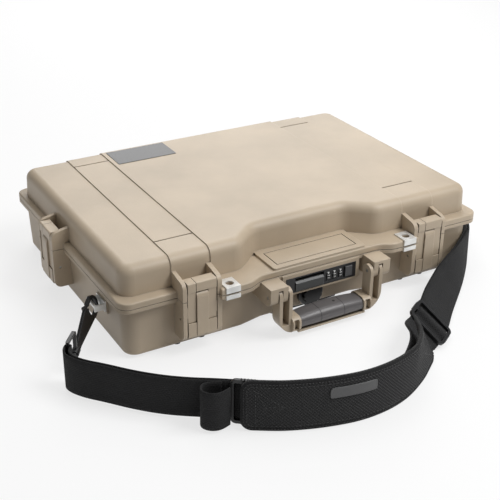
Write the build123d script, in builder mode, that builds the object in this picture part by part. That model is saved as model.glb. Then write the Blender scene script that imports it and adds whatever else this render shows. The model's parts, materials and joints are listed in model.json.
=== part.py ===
"""Hard case for a laptop: hinged lid, draw latches, handle, dial lock, purge valve, shoulder strap.

Millimetres. +Z is up, +X is to the right of someone who faces the handle, and -Y is towards them.
The origin is on the floor under the middle of the rim.
"""
import os
from math import cos, radians, sin

from build123d import *

# ---------------------------------------------------------------- driving dimensions
# Case
rim_half_width = 262.0          # centre to the rim at either side
rim_half_depth = 184.0          # centre to the rim at the back and at the front corners
lid_top = 121.0                 # floor to the highest part of the lid
parting_height = 74.0           # floor to the middle of the joint between lid and base
parting_gap = 0.7               # air between the two rims when the lid is shut
foot_height = 3.5
foot_width = 9.0
foot_length = 22.0
foot_round = 4.0
foot_y_reach = 157.0
foot_bar_length = 100.0
wall = 4.0
wall_draft = 2.5                # degrees
rim_corner_radius = 15.0
wall_corner_radius = 16.0
lid_corner_radius = 20.0
turn_radius = 24.0              # where the front steps in behind the handle
base_flange = 4.7               # height of the base's rim
lid_flange = 7.6                # height of the lid's rim
base_overhang = 10.0            # rim beyond the foot of the base walls
lid_side_overhang = 5.1
lid_front_overhang = 12.0
lid_back_overhang = 9.0
base_edge_radius = 5.0
lid_edge_radius = 12.0
flange_edge_radius = 2.0
lid_step = 1.2                  # each band of the lid's top lies this much lower than the next
band_groove = 2.4               # width of the grooves across the narrow bands

# Front: the rim stands out over the padlock plates and a little less over the handle
plate_rim_depth = 205.0
handle_rim_depth = 196.0
plate_turn = 104.0
handle_turn = 86.0
base_bay_depth = 167.0          # base wall behind the handle
base_plate_turn = 100.0
base_bay_turn = 68.0
lid_bay_depth = 144.0           # lid wall behind the raised panel
lid_plate_turn = 100.0
lid_bay_turn = 66.0

# Latches
latch_reach = 15.0              # how far the latch and its ribs stand out from the rim
latch_width = 37.4
bay_width = 39.6                # between the ribs
inner_rib = 6.0
outer_rib = 5.2
front_latch_x = 166.2           # middle of a front latch
side_latch_y = 22.0             # middle of a side latch
rib_bottom = 21.0
rib_top = 97.0
rib_gusset_top = 102.0
rib_round = 9.0
hook_pivot_height = 49.0
hook_pivot_depth = 8.5          # inside the latch's front face
lever_pivot_height = 78.0
lever_pivot_depth = 5.2
latch_bottom = 24.0
latch_top = 97.0
latch_head = 12.0
head_groove = 0.7               # line down the head, in line with the tongue's edge
tongue_width = 15.0
column_thickness = 8.0
lever_thickness = 7.0
lever_step = 46.0               # top of the lever's wide lower end
pin_radius = 1.6
pin_clearance = 0.06

# Back hinges
hinge_axis_depth = 190.6
hinge_radius = 5.6
hinge_pin_radius = 2.2
hinge_width = 45.2
hinge_centre_x = 169.0
knuckle_gap = 0.5

# Handle
handle_pivot_depth = 214.0
handle_pivot_height = 60.0
handle_arm_radius = 8.5
handle_outer_x = 75.2
handle_inner_x = 57.0
handle_flange = 4.6
handle_gap = 1.0                # between a handle flange and the ear beside it
ear_outer_x = 87.0
ear_front = 221.0
ear_top = 73.2
ear_bottom = 49.0
handle_bottom = 7.6
handle_lip = 2.4                # plate under the grip
handle_corner_radius = 24.0
handle_foot = 20.0              # below this the arms are solid
handle_web = 2.5
grip_low = 10.3                 # underside of the grip
grip_core_height = 19.0
grip_centre_depth = 212.5
grip_half_length = 46.0
grip_height = 19.5
grip_depth = 30.0
grip_end_height = 16.5          # the grip swells from its ends to its middle
grip_end_depth = 27.0
collar_margin = 1.7             # collar beyond the grip's end, all round
collar_width = 3.0
gusset_pocket = 6.0             # hollow between a collar and its arm, from the front
grip_core = 12.0
handle_pin_radius = 2.4

# Combination lock
lock_left = -52.0
lock_right = 51.0
lock_low = 46.8
lock_high = 67.6
lock_face = 198.4
lock_depth = 28.0
lock_boss_margin = 5.0
lock_clearance = 0.4
dial_radius = 9.0
dial_width = 5.6
dial_pitch = 8.9
first_dial_x = 9.6
dial_height = 57.2
dial_count = 3
dial_shaft_radius = 1.8
release_width = 41.0
release_height = 13.0
release_x = -18.0
release_travel = 2.5
slide_width = 10.4
slide_height = 14.0
slide_x = 39.8
slide_travel = 2.0

# Padlock plates
padlock_x = 129.0
padlock_width = 19.0
padlock_length = 22.5
padlock_sheet = 1.6
padlock_hole_radius = 5.0
padlock_hole_depth = 196.0

# Purge valve
valve_height = 25.0
valve_radius = 18.0
valve_thickness = 7.0
valve_cap_radius = 13.5
valve_cap_thickness = 4.0
valve_stem_radius = 9.0

# Strap anchors
anchor_depth = 111.0            # in front of the middle
anchor_height = 50.0
anchor_pad = 4.0                # moulded pad under the anchor, out from the wall's foot
anchor_plate_length = 26.0
anchor_plate_height = 14.0
anchor_pad_margin = 2.0
anchor_plate_thickness = 2.0
anchor_ear_length = 12.5
anchor_ear_width = 8.0
anchor_ear_thickness = 2.2
anchor_bar_reach = 10.0         # plate to the middle of the bar that the hook goes round
anchor_bar_radius = 2.0
screw_radius = 2.0
screw_length = 5.0
screw_head_radius = 3.2
screw_head = 0.5
screw_spacing = 15.0

# Shoulder strap
webbing_width = 48.0
webbing_thickness = 2.0
webbing_low = 3.8               # lower edge of the webbing, level with the loops' openings
layer_pitch = 3.2               # middle of one layer of webbing to the middle of the next
hook_thickness = 4.2
hook_slack = 0.3                # between the ring's end and the anchor's bar
hook_bar = 4.4
loop_rail_height = 57.0
loop_bar = 3.0
loop_thickness = 4.0
loop_bar_radius = 1.8
loop_slack = 0.4                # between the loop's bar and the webbing round it
slider_length = 38.0
slider_width = 56.0
slider_thickness = 3.6
slider_bar = 4.0
slider_window = 12.0
slider_lift = 1.2
slider_gap = 1.1
pad_height = 63.0
pad_thickness = 6.0
pad_low = 0.4
patch_height = 34.0
patch_thickness = 0.8

# Inside
foam_gap = 0.5
foam_thickness_under_laptop = 14.0
foam_top = 66.0
pocket_width = 400.0
pocket_depth = 262.0
pocket_radius = 10.0
lid_foam_thickness = 20.0
seal_width = 4.0
seal_height = 3.0
seal_inset = 4.0                # seal centre line out from the cavity

# Label
label_x = -90.0
label_y = 137.0
label_width = 88.0
label_depth = 47.0
label_thickness = 0.9
label_recess = 0.4

# ---------------------------------------------------------------- derived places
base_top = parting_height - parting_gap / 2
lid_bottom = parting_height + parting_gap / 2
flange_under = base_top - base_flange
lid_flange_top = lid_bottom + lid_flange
rib_step_x = front_latch_x - bay_width / 2 - inner_rib / 2
inner_rib_x = front_latch_x - bay_width / 2 - inner_rib
outer_rib_x = front_latch_x + bay_width / 2 + outer_rib
grow = radians(wall_draft)
base_growth = (flange_under - foot_height) * sin(grow) / cos(grow)

os.makedirs("parts", exist_ok=True)


def save(part, name):
    """Label a finished piece and write it."""
    part.label = name
    export_step(part, f"parts/{name}.step")


# ---------------------------------------------------------------- plan outlines
def case_plan(half_width, back, corner_front, plate_front, bay_front, outer_turn, inner_turn, corner):
    """Plan with square back corners and a front that steps in behind the handle."""
    right = [(inner_turn, -bay_front), (outer_turn, -plate_front)]
    if plate_front != corner_front:
        right += [(rib_step_x, -plate_front), (rib_step_x, -corner_front)]
    right += [(half_width, -corner_front), (half_width, back)]
    left = [(-x, y) for x, y in reversed(right)]
    with BuildSketch(mode=Mode.PRIVATE) as plan:
        with BuildLine():
            Polyline(*right, *left, close=True)
        make_face()
        ends = [v for v in plan.vertices() if abs(abs(v.X) - half_width) < 0.01]
        fillet(ends, corner)
        turns = [v for v in plan.vertices() if min(abs(abs(v.X) - outer_turn), abs(abs(v.X) - inner_turn)) < 0.01]
        fillet(turns, turn_radius)
    return plan.sketch


rim_plan = case_plan(rim_half_width, rim_half_depth, rim_half_depth, plate_rim_depth, handle_rim_depth,
                     plate_turn, handle_turn, rim_corner_radius)
base_plan = case_plan(rim_half_width - base_overhang, rim_half_depth - base_overhang,
                      rim_half_depth - base_overhang, rim_half_depth - base_overhang, base_bay_depth,
                      base_plate_turn, base_bay_turn, wall_corner_radius)
lid_plan = case_plan(rim_half_width - lid_side_overhang, rim_half_depth - lid_back_overhang,
                     rim_half_depth - lid_front_overhang, rim_half_depth - lid_front_overhang, lid_bay_depth,
                     lid_plate_turn, lid_bay_turn, lid_corner_radius)


def inset(plan, amount):
    """The same plan with its edge moved in."""
    with BuildSketch(mode=Mode.PRIVATE) as smaller:
        add(plan)
        offset(amount=-amount, kind=Kind.ARC)
    return smaller.sketch


def block(plan, low, high, draft=0.0):
    """A plan extruded between two heights; a positive draft narrows it upwards."""
    with BuildPart(mode=Mode.PRIVATE) as solid:
        with BuildSketch(Plane.XY.offset(low)):
            add(plan)
        extrude(amount=high - low, taper=draft)
    return solid.part


def box(x_low, x_high, y_low, y_high, z_low, z_high):
    """A plain block between six faces."""
    middle = ((x_low + x_high) / 2, (y_low + y_high) / 2, (z_low + z_high) / 2)
    with BuildPart(mode=Mode.PRIVATE) as solid:
        with Locations(middle):
            Box(x_high - x_low, y_high - y_low, z_high - z_low)
    return solid.part


def rod(start, end, radius):
    """A round bar between two points."""
    run = Vector(*end) - Vector(*start)
    with BuildPart(mode=Mode.PRIVATE) as solid:
        with BuildSketch(Plane(origin=start, z_dir=run)):
            Circle(radius)
        extrude(amount=run.length)
    return solid.part


def latch_spot(side):
    """Where a latch's own frame lies: local y = 0 is the rim, local -y points outwards."""
    spots = {
        "front_left": Location((-front_latch_x, -rim_half_depth, 0)),
        "front_right": Location((front_latch_x, -rim_half_depth, 0)),
        "side_left": Location((-rim_half_width, side_latch_y, 0), (0, 0, -90)),
        "side_right": Location((rim_half_width, side_latch_y, 0), (0, 0, 90)),
    }
    return spots[side]


latch_sides = ("front_left", "front_right", "side_left", "side_right")


def rib_pair(points, rounds, side):
    """Two ribs beside a latch, from one profile of (out from the rim, height) points."""
    mirrored = side in ("front_left", "side_left")
    inner = (bay_width / 2, bay_width / 2 + inner_rib)
    outer = (-bay_width / 2 - outer_rib, -bay_width / 2)
    spans = (inner, outer) if mirrored else ((-inner[1], -inner[0]), (-outer[1], -outer[0]))
    with BuildPart(mode=Mode.PRIVATE) as ribs:
        for low, high in spans:
            with BuildSketch(Plane.YZ.offset(low)) as profile:
                with BuildLine():
                    Polyline(*points, close=True)
                make_face()
                for spot, radius in rounds:
                    fillet(profile.vertices().sort_by_distance((*spot, 0))[0], radius)
            extrude(amount=high - low)
    return ribs.part.moved(latch_spot(side))


def rib_width_range(side):
    """Local x of the two ribs' outer faces, in the latch's own frame."""
    if side in ("front_left", "side_left"):
        return -bay_width / 2 - outer_rib, bay_width / 2 + inner_rib
    return -bay_width / 2 - inner_rib, bay_width / 2 + outer_rib


# ---------------------------------------------------------------- base shell
base_rib_points = [(base_overhang, base_top), (-latch_reach, base_top), (-latch_reach, rib_bottom),
                   (base_overhang, rib_bottom)]
base_cavity = block(inset(base_plan, wall), foot_height + wall, parting_height + wall, -wall_draft)
lock_boss = (lock_left - lock_boss_margin, lock_right + lock_boss_margin)
hook_pin_y = -latch_reach + hook_pivot_depth
valve_face = -base_bay_depth - 3.5
anchor_face_x = rim_half_width - base_overhang + anchor_pad
half_pad_length = anchor_plate_length / 2 + anchor_pad_margin
half_pad_height = anchor_plate_height / 2 + anchor_pad_margin

with BuildPart() as base_shell:
    add(block(base_plan, foot_height, flange_under + base_flange / 2, -wall_draft))
    fillet(base_shell.faces().sort_by(Axis.Z)[0].edges(), base_edge_radius)
    add(block(rim_plan, flange_under, base_top))
    # ribs beside each latch
    for side in latch_sides:
        add(rib_pair(base_rib_points, [((-latch_reach, rib_bottom), 9.0)], side))
    # box round the lock, ears for the handle
    add(box(*lock_boss, -lock_face + 0.4, -base_bay_depth - 0.5, lock_low - 2.8, base_top - 1))
    for way in (-1, 1):
        for low, high in ((handle_outer_x + handle_gap, ear_outer_x),
                          (handle_inner_x + handle_flange + handle_gap,
                           handle_outer_x - handle_flange - handle_gap)):
            with BuildSketch(Plane.YZ.offset(way * low if way > 0 else -high)) as cheek:
                with Locations((-(ear_front + base_bay_depth + 0.5) / 2, (ear_top + ear_bottom) / 2)):
                    Rectangle(ear_front - base_bay_depth - 0.5, ear_top - ear_bottom)
                fillet(cheek.vertices().sort_by_distance((-ear_front, ear_bottom, 0))[0], 9.0)
            extrude(amount=high - low)
        add(box(*sorted((way * (handle_inner_x + handle_flange + handle_gap), way * ear_outer_x)),
                -ear_front, -handle_rim_depth + 6, flange_under, ear_top))
    # pads under the valve and the strap anchors
    add(rod((0, valve_face, valve_height), (0, -base_bay_depth + 1.5, valve_height), valve_radius + 1))
    for way in (-1, 1):
        inner_face = rim_half_width - base_overhang - 1.5
        add(box(*sorted((way * inner_face, way * anchor_face_x)),
                -anchor_depth - half_pad_length, -anchor_depth + half_pad_length,
                anchor_height - half_pad_height, anchor_height + half_pad_height))
    # back hinge knuckles
    for way in (-1, 1):
        for end in (-1, 1):
            knuckle = hinge_width / 2 - hinge_width / 6
            middle = way * hinge_centre_x + end * knuckle
            half = hinge_width / 6 - knuckle_gap / 2
            add(rod((middle - half, hinge_axis_depth, parting_height),
                    (middle + half, hinge_axis_depth, parting_height), hinge_radius))
            with BuildSketch(Plane.YZ.offset(middle - half)):
                with BuildLine():
                    Polyline((rim_half_depth - base_overhang + 1, parting_height - 26),
                             (hinge_axis_depth + hinge_radius - 0.5, parting_height - 2),
                             (hinge_axis_depth, base_top), (rim_half_depth - 2, base_top),
                             (rim_half_depth - base_overhang + 1, base_top), close=True)
                make_face()
            extrude(amount=2 * half)
    # hollow, sockets and bores
    add(base_cavity, mode=Mode.SUBTRACT)
    add(box(lock_left, lock_right, -lock_face - 1, -lock_face + lock_depth, lock_low, lock_high),
        mode=Mode.SUBTRACT)
    for side in latch_sides:
        low, high = rib_width_range(side)
        bore = rod((low - 1, hook_pin_y, hook_pivot_height), (high + 1, hook_pin_y, hook_pivot_height),
                   pin_radius)
        add(bore.moved(latch_spot(side)), mode=Mode.SUBTRACT)
    for way in (-1, 1):
        add(rod((way * (handle_inner_x - 2), -handle_pivot_depth, handle_pivot_height),
                (way * (ear_outer_x + 1), -handle_pivot_depth, handle_pivot_height), handle_pin_radius),
            mode=Mode.SUBTRACT)
        add(rod((way * padlock_x, -padlock_hole_depth, flange_under - 2),
                (way * padlock_x, -padlock_hole_depth, base_top + 1), padlock_hole_radius),
            mode=Mode.SUBTRACT)
        add(rod((way * (hinge_centre_x - hinge_width / 2 - 1), hinge_axis_depth, parting_height),
                (way * (hinge_centre_x + hinge_width / 2 + 1), hinge_axis_depth, parting_height),
                hinge_pin_radius), mode=Mode.SUBTRACT)
        # room for the lid's knuckle between the base's two
        add(box(way * hinge_centre_x - hinge_width / 6 - knuckle_gap / 2,
                way * hinge_centre_x + hinge_width / 6 + knuckle_gap / 2,
                hinge_axis_depth - hinge_radius - 1, hinge_axis_depth + hinge_radius + 1,
                parting_height - hinge_radius - 1, base_top + 1), mode=Mode.SUBTRACT)
        for end in (-1, 1):
            screw_y = -anchor_depth + end * screw_spacing / 2
            add(rod((way * (anchor_face_x - screw_length), screw_y, anchor_height),
                    (way * (anchor_face_x + 1), screw_y, anchor_height), screw_radius), mode=Mode.SUBTRACT)
    add(rod((0, valve_face - 1, valve_height), (0, -base_bay_depth + wall + 2, valve_height),
            valve_stem_radius), mode=Mode.SUBTRACT)
save(base_shell.part, "base_shell")


# ---------------------------------------------------------------- lid shell
def lid_block(lowered):
    """The lid's raised body, its top and walls drawn in by one amount."""
    with BuildPart(mode=Mode.PRIVATE) as body:
        add(block(inset(lid_plan, lowered) if lowered else lid_plan, lid_bottom, lid_top - lowered, wall_draft))
        fillet(body.faces().sort_by(Axis.Z)[-1].edges(), lid_edge_radius)
    return body.part


def lid_band(lowered, inner, outer):
    """One pair of bands of the lid's body, between two distances from the middle."""
    with BuildPart(mode=Mode.PRIVATE) as band:
        add(lid_block(lowered))
        reach = rim_half_depth + 10
        with BuildPart(mode=Mode.PRIVATE) as keep:
            for low, high in ((-outer, -inner), (inner, outer)):
                add(box(low, high, -reach, reach, lid_bottom - 1, lid_top + 1))
        add(keep.part, mode=Mode.INTERSECT)
    return band.part


lid_rib_outline = [(-latch_reach, lid_bottom), (-latch_reach, rib_top)]
lid_roots = {"front_left": lid_front_overhang + 2.2, "front_right": lid_front_overhang + 2.2,
             "side_left": lid_side_overhang + 2 * lid_step + 2.0,
             "side_right": lid_side_overhang + 2 * lid_step + 2.0}
panel_half = 67.0
panel_front = handle_rim_depth - 1.5
panel_height = 3.0
panel_groove = 1.2
panel_inner_half = 58.5
panel_inner_front = panel_front - 8.0
panel_inner_back = lid_bay_depth + 9.0

with BuildPart() as lid_shell:
    add(lid_band(0.0, 0.0, inner_rib_x))
    add(lid_band(lid_step, inner_rib_x, outer_rib_x))
    add(lid_band(2 * lid_step, outer_rib_x, rim_half_width))
    with BuildPart(mode=Mode.PRIVATE) as rim:
        add(block(rim_plan, lid_bottom, lid_flange_top))
        fillet(rim.faces().sort_by(Axis.Z)[-1].edges(), flange_edge_radius)
    add(rim.part)
    for side in latch_sides:
        root = lid_roots[side]
        profile = [(root, lid_bottom), *lid_rib_outline, (root, rib_gusset_top)]
        add(rib_pair(profile, [((-latch_reach, rib_top), rib_round)], side))
        # ledge that the latch's head comes down in front of
        add(box(-bay_width / 2, bay_width / 2, 0.2, 4.0, lid_flange_top - 2, lid_flange_top + 3)
            .moved(latch_spot(side)))
    # raised panel over the handle
    with BuildSketch(Plane.XY.offset(lid_flange_top - 1)):
        with Locations((0, -(panel_front + lid_bay_depth - 2) / 2)):
            RectangleRounded(2 * panel_half, panel_front - lid_bay_depth + 2, 3.0)
    extrude(amount=panel_height + 1)
    with BuildSketch(Plane.XY.offset(lid_flange_top + panel_height)):
        with Locations((0, -(panel_inner_front + panel_inner_back) / 2)):
            Rectangle(2 * panel_inner_half, panel_inner_front - panel_inner_back)
            Rectangle(2 * panel_inner_half - 2 * panel_groove,
                      panel_inner_front - panel_inner_back - 2 * panel_groove, mode=Mode.SUBTRACT)
    extrude(amount=-1.4, mode=Mode.SUBTRACT)
    # back hinge knuckles, one between each pair on the base
    for way in (-1, 1):
        half = hinge_width / 6 - knuckle_gap / 2
        middle = way * hinge_centre_x
        add(rod((middle - half, hinge_axis_depth, parting_height),
                (middle + half, hinge_axis_depth, parting_height), hinge_radius))
        with BuildSketch(Plane.YZ.offset(middle - half)):
            with BuildLine():
                Polyline((rim_half_depth - 3, lid_bottom), (hinge_axis_depth, lid_bottom),
                         (hinge_axis_depth + hinge_radius - 0.6, parting_height + 2.5),
                         (rim_half_depth - 3, parting_height + 20), close=True)
            make_face()
        extrude(amount=2 * half)
    # hollow
    cavity_inset = wall + 2 * lid_step
    add(block(inset(lid_plan, cavity_inset), lid_bottom - 1, lid_top - cavity_inset, wall_draft),
        mode=Mode.SUBTRACT)
    # groove for the seal, outside the base's opening
    seal_line_out = base_growth + wall * sin(grow) - wall + seal_inset
    with BuildSketch(Plane.XY.offset(lid_bottom)):
        add(base_plan)
        offset(amount=seal_line_out + seal_width / 2 + 0.1, kind=Kind.ARC)
        add(inset(base_plan, seal_width / 2 + 0.1 - seal_line_out), mode=Mode.SUBTRACT)
    extrude(amount=seal_height - 0.3, mode=Mode.SUBTRACT)
    # bores and the grooves across each band
    for way in (-1, 1):
        add(rod((way * padlock_x, -padlock_hole_depth, lid_bottom - 1),
                (way * padlock_x, -padlock_hole_depth, lid_flange_top + 2), padlock_hole_radius),
            mode=Mode.SUBTRACT)
        add(rod((way * (hinge_centre_x - hinge_width / 2), hinge_axis_depth, parting_height),
                (way * (hinge_centre_x + hinge_width / 2), hinge_axis_depth, parting_height),
                hinge_pin_radius + pin_clearance), mode=Mode.SUBTRACT)
        for line in (-123.5, 136.0):
            add(box(*sorted((way * (inner_rib_x + 0.01), way * (outer_rib_x - 0.01))),
                    line - band_groove / 2, line + band_groove / 2,
                    lid_top - lid_step - 1.2, lid_top + 1), mode=Mode.SUBTRACT)
    add(box(label_x - label_width / 2 - 0.3, label_x + label_width / 2 + 0.3,
            label_y - label_depth / 2 - 0.3, label_y + label_depth / 2 + 0.3,
            lid_top - label_recess, lid_top + 1), mode=Mode.SUBTRACT)
save(lid_shell.part, "lid_shell")

# ---------------------------------------------------------------- seal, foam, label, feet
with BuildPart() as lid_seal:
    with BuildSketch(Plane.XY.offset(lid_bottom - 0.3)):
        add(base_plan)
        offset(amount=seal_line_out + seal_width / 2, kind=Kind.ARC)
        add(inset(base_plan, seal_width / 2 - seal_line_out), mode=Mode.SUBTRACT)
    extrude(amount=seal_height)
save(lid_seal.part, "lid_seal")

with BuildPart() as base_foam:
    add(block(inset(base_plan, wall + foam_gap), foot_height + wall, foam_top, -wall_draft))
    with BuildSketch(Plane.XY.offset(foam_top)):
        RectangleRounded(pocket_width, pocket_depth, pocket_radius)
        for end in (-1, 1):
            with Locations((end * pocket_width / 2, 0)):
                Circle(22)
    extrude(amount=-(foam_top - foot_height - wall - foam_thickness_under_laptop), mode=Mode.SUBTRACT)
save(base_foam.part, "base_foam")

lid_foam_top = lid_top - cavity_inset
with BuildPart() as lid_foam:
    foam_low = lid_foam_top - lid_foam_thickness
    shrink = (foam_low - lid_bottom) * sin(grow) / cos(grow)
    add(block(inset(lid_plan, cavity_inset + foam_gap + shrink), foam_low, lid_foam_top, wall_draft))
save(lid_foam.part, "lid_foam")

with BuildPart() as label_plate:
    with BuildSketch(Plane.XY.offset(lid_top - label_recess)):
        with Locations((label_x, label_y)):
            RectangleRounded(label_width, label_depth, 1.5)
    extrude(amount=label_thickness)
save(label_plate.part, "label_plate")

foot_spots = [(foot_x, foot_y) for foot_x in (-184, -151, 151, 184) for foot_y in (-foot_y_reach, foot_y_reach)]
with BuildPart() as feet:
    with BuildSketch():
        with Locations((0, 0), *foot_spots):
            RectangleRounded(foot_width, foot_length, foot_round)
        # bar under the wall behind the handle
        with Locations((0, -foot_y_reach)):
            RectangleRounded(foot_bar_length, foot_width, foot_round)
    extrude(amount=foot_height)
save(feet.part, "feet")

# ---------------------------------------------------------------- latches
face = -latch_reach
half_latch = latch_width / 2
half_tongue = tongue_width / 2
lever_pin_y = face + lever_pivot_depth

with BuildPart() as latch_hook:
    # head across the top, a column down each side
    with BuildSketch(Plane.YZ.offset(-half_latch)) as head_side:
        with Locations(((face - 1.0) / 2, latch_top - latch_head / 2)):
            Rectangle(latch_reach - 1.0, latch_head)
        fillet(head_side.vertices().sort_by_distance((face, latch_top, 0))[0], 2.0)
    extrude(amount=latch_width)
    groove = (-half_tongue - 0.5 - head_groove / 2, -half_tongue - 0.5 + head_groove / 2)
    add(box(*groove, face - 1, face + 1.2, latch_top - latch_head - 1, latch_top + 1), mode=Mode.SUBTRACT)
    add(box(*groove, face - 1, 0, latch_top - 1.0, latch_top + 1), mode=Mode.SUBTRACT)
    for way in (-1, 1):
        low, high = sorted((way * (half_tongue + 0.5), way * half_latch))
        with BuildSketch(Plane.YZ.offset(low)) as column:
            low_end = hook_pivot_height - 4.0
            with Locations((face + 0.8 + column_thickness / 2, (latch_top - 2 + low_end) / 2)):
                Rectangle(column_thickness, latch_top - 2 - low_end)
            with Locations((hook_pin_y, hook_pivot_height)):
                Circle(3.6)
        extrude(amount=high - low)
        # wider band over the middle of the column
        low, high = sorted((way * (half_latch - 2), way * (half_latch + 0.6)))
        add(box(low, high, face + 0.8, face + 0.8 + column_thickness, hook_pivot_height + 3, 66))
    add(rod((-half_latch - 2, hook_pin_y, hook_pivot_height), (half_latch + 2, hook_pin_y, hook_pivot_height),
            pin_radius + pin_clearance), mode=Mode.SUBTRACT)
    add(rod((-half_latch + 2, lever_pin_y, lever_pivot_height), (half_latch - 2, lever_pin_y, lever_pivot_height),
            pin_radius), mode=Mode.SUBTRACT)

with BuildPart() as latch_lever:
    # wide lower end and the tongue between the columns
    with BuildSketch(Plane.YZ.offset(-half_latch)) as lever_end:
        with Locations((face - 0.6 + lever_thickness / 2, (latch_bottom + lever_step - 1.5) / 2)):
            Rectangle(lever_thickness, lever_step - 1.5 - latch_bottom)
        fillet(lever_end.vertices().group_by(Axis.Y)[0], 3.0)
    extrude(amount=latch_width)
    with BuildSketch(Plane.YZ.offset(-half_tongue)):
        with Locations((face - 1.4 + 2.6, (latch_bottom + 3 + lever_pivot_height) / 2)):
            Rectangle(5.2, lever_pivot_height - latch_bottom - 3)
        with Locations((lever_pin_y, lever_pivot_height)):
            Circle(lever_pivot_depth + 1.2)
    extrude(amount=tongue_width)
    add(rod((-half_tongue - 1, lever_pin_y, lever_pivot_height), (half_tongue + 1, lever_pin_y, lever_pivot_height),
            pin_radius + pin_clearance), mode=Mode.SUBTRACT)

with BuildPart() as latch_lever_pin:
    add(rod((-half_latch + 2, lever_pin_y, lever_pivot_height), (half_latch - 2, lever_pin_y, lever_pivot_height),
            pin_radius))

for side in latch_sides:
    for piece, pattern in (("hook", latch_hook), ("lever", latch_lever), ("lever_pin", latch_lever_pin)):
        with BuildPart() as copy:
            add(pattern.part.moved(latch_spot(side)))
        save(copy.part, f"latch_{side}_{piece}")

with BuildPart() as latch_hook_pins:
    for side in latch_sides:
        low, high = rib_width_range(side)
        pin = rod((low + 1, hook_pin_y, hook_pivot_height), (high - 1, hook_pin_y, hook_pivot_height), pin_radius)
        add(pin.moved(latch_spot(side)))
save(latch_hook_pins.part, "latch_hook_pins")

with BuildPart() as hinge_pins:
    for way in (-1, 1):
        add(rod((way * hinge_centre_x - hinge_width / 2 + 0.5, hinge_axis_depth, parting_height),
                (way * hinge_centre_x + hinge_width / 2 - 0.5, hinge_axis_depth, parting_height),
                hinge_pin_radius))
save(hinge_pins.part, "hinge_pins")

# ---------------------------------------------------------------- padlock plates
plate_front = plate_rim_depth + padlock_sheet
plate_back = plate_front - padlock_length
for name, low, high, lip_low, lip_high in (
        ("padlock_plates_lid", lid_flange_top, lid_flange_top + padlock_sheet,
         lid_bottom + 1.2, lid_flange_top + padlock_sheet),
        ("padlock_plates_base", flange_under - padlock_sheet, flange_under,
         flange_under - padlock_sheet, base_top - 1.0)):
    with BuildPart() as plates:
        for way in (-1, 1):
            x_low, x_high = way * padlock_x - padlock_width / 2, way * padlock_x + padlock_width / 2
            add(box(x_low, x_high, -plate_front, -plate_back, low, high))
            add(box(x_low, x_high, -plate_front, -plate_rim_depth, lip_low, lip_high))
            add(rod((way * padlock_x, -padlock_hole_depth, low - 1),
                    (way * padlock_x, -padlock_hole_depth, high + 1), padlock_hole_radius), mode=Mode.SUBTRACT)
    save(plates.part, name)

# ---------------------------------------------------------------- handle
arm_front = handle_pivot_depth + handle_arm_radius
arm_back = handle_pivot_depth - handle_arm_radius
web_top = handle_pivot_height - (ear_front - handle_pivot_depth) - 9.0
grip_front = grip_centre_depth + grip_depth / 2
collar_x = grip_half_length + 0.4
grip_end_centre = grip_low + grip_end_height / 2

with BuildPart() as handle_frame:
    for way in (-1, 1):
        for low, high in ((handle_inner_x, handle_inner_x + handle_flange),
                          (handle_outer_x - handle_flange, handle_outer_x)):
            with BuildSketch(Plane.YZ.offset(way * low if way > 0 else -high)):
                with Locations((-handle_pivot_depth, handle_pivot_height)):
                    Circle(handle_arm_radius)
                with Locations((-handle_pivot_depth, (handle_pivot_height + handle_bottom) / 2)):
                    Rectangle(2 * handle_arm_radius, handle_pivot_height - handle_bottom)
            extrude(amount=high - low)
        x_low, x_high = sorted((way * handle_inner_x, way * handle_outer_x))
        add(box(x_low, x_high, -arm_back - handle_web, -arm_back, handle_bottom, web_top))
        add(box(x_low, x_high, -arm_front, -arm_back, handle_bottom, handle_foot))
    # lip under the grip, and the bar inside it
    lip_reach = collar_x + collar_width
    add(box(-lip_reach, lip_reach, -grip_front + 2, -arm_back, handle_bottom, handle_bottom + handle_lip))
    core = grip_core / 2
    add(box(-handle_inner_x - 1, handle_inner_x + 1, -grip_centre_depth - core, -grip_centre_depth + core,
            grip_core_height - core, grip_core_height + core))
    # collar at each end of the grip, joined to its arm by a hollow gusset
    for way in (-1, 1):
        with BuildSketch(Plane.YZ.offset(collar_x if way > 0 else -handle_inner_x - 1)):
            with Locations((-grip_centre_depth, grip_end_centre)):
                RectangleRounded(grip_end_depth + 2 * collar_margin,
                                 grip_end_height + 2 * collar_margin, 8.0)
        extrude(amount=handle_inner_x + 1 - collar_x)
        add(box(*sorted((way * (collar_x + collar_width), way * (handle_inner_x - 1))), -grip_front - 1,
                -grip_front + gusset_pocket, handle_bottom + handle_lip + 2,
                grip_end_centre + grip_end_height / 2 - 1), mode=Mode.SUBTRACT)
        add(rod((way * (handle_inner_x - 1), -handle_pivot_depth, handle_pivot_height),
                (way * (handle_outer_x + 1), -handle_pivot_depth, handle_pivot_height),
                handle_pin_radius + pin_clearance), mode=Mode.SUBTRACT)
    # one large rounding at each lower corner of the whole frame
    with BuildPart(mode=Mode.PRIVATE) as outline:
        with BuildSketch(Plane.XZ.offset(arm_back - handle_arm_radius)) as front_view:
            with Locations((0, (handle_bottom + handle_pivot_height + handle_arm_radius) / 2)):
                Rectangle(2 * handle_outer_x, handle_pivot_height + handle_arm_radius - handle_bottom)
            fillet(front_view.vertices().group_by(Axis.Y)[0], handle_corner_radius)
        extrude(amount=5 * handle_arm_radius)
    add(outline.part, mode=Mode.INTERSECT)
save(handle_frame.part, "handle_frame")

with BuildPart() as handle_grip:
    for place, depth, height in ((-grip_half_length, grip_end_depth, grip_end_height),
                                 (0, grip_depth, grip_height),
                                 (grip_half_length, grip_end_depth, grip_end_height)):
        with BuildSketch(Plane.YZ.offset(place)):
            with Locations((-grip_centre_depth, grip_low + height / 2)):
                RectangleRounded(depth, height, height / 2 - 0.5)
    loft()
    bore = core + 0.2
    add(box(-handle_inner_x, handle_inner_x, -grip_centre_depth - bore, -grip_centre_depth + bore,
            grip_core_height - bore, grip_core_height + bore), mode=Mode.SUBTRACT)
save(handle_grip.part, "handle_grip")

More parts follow.
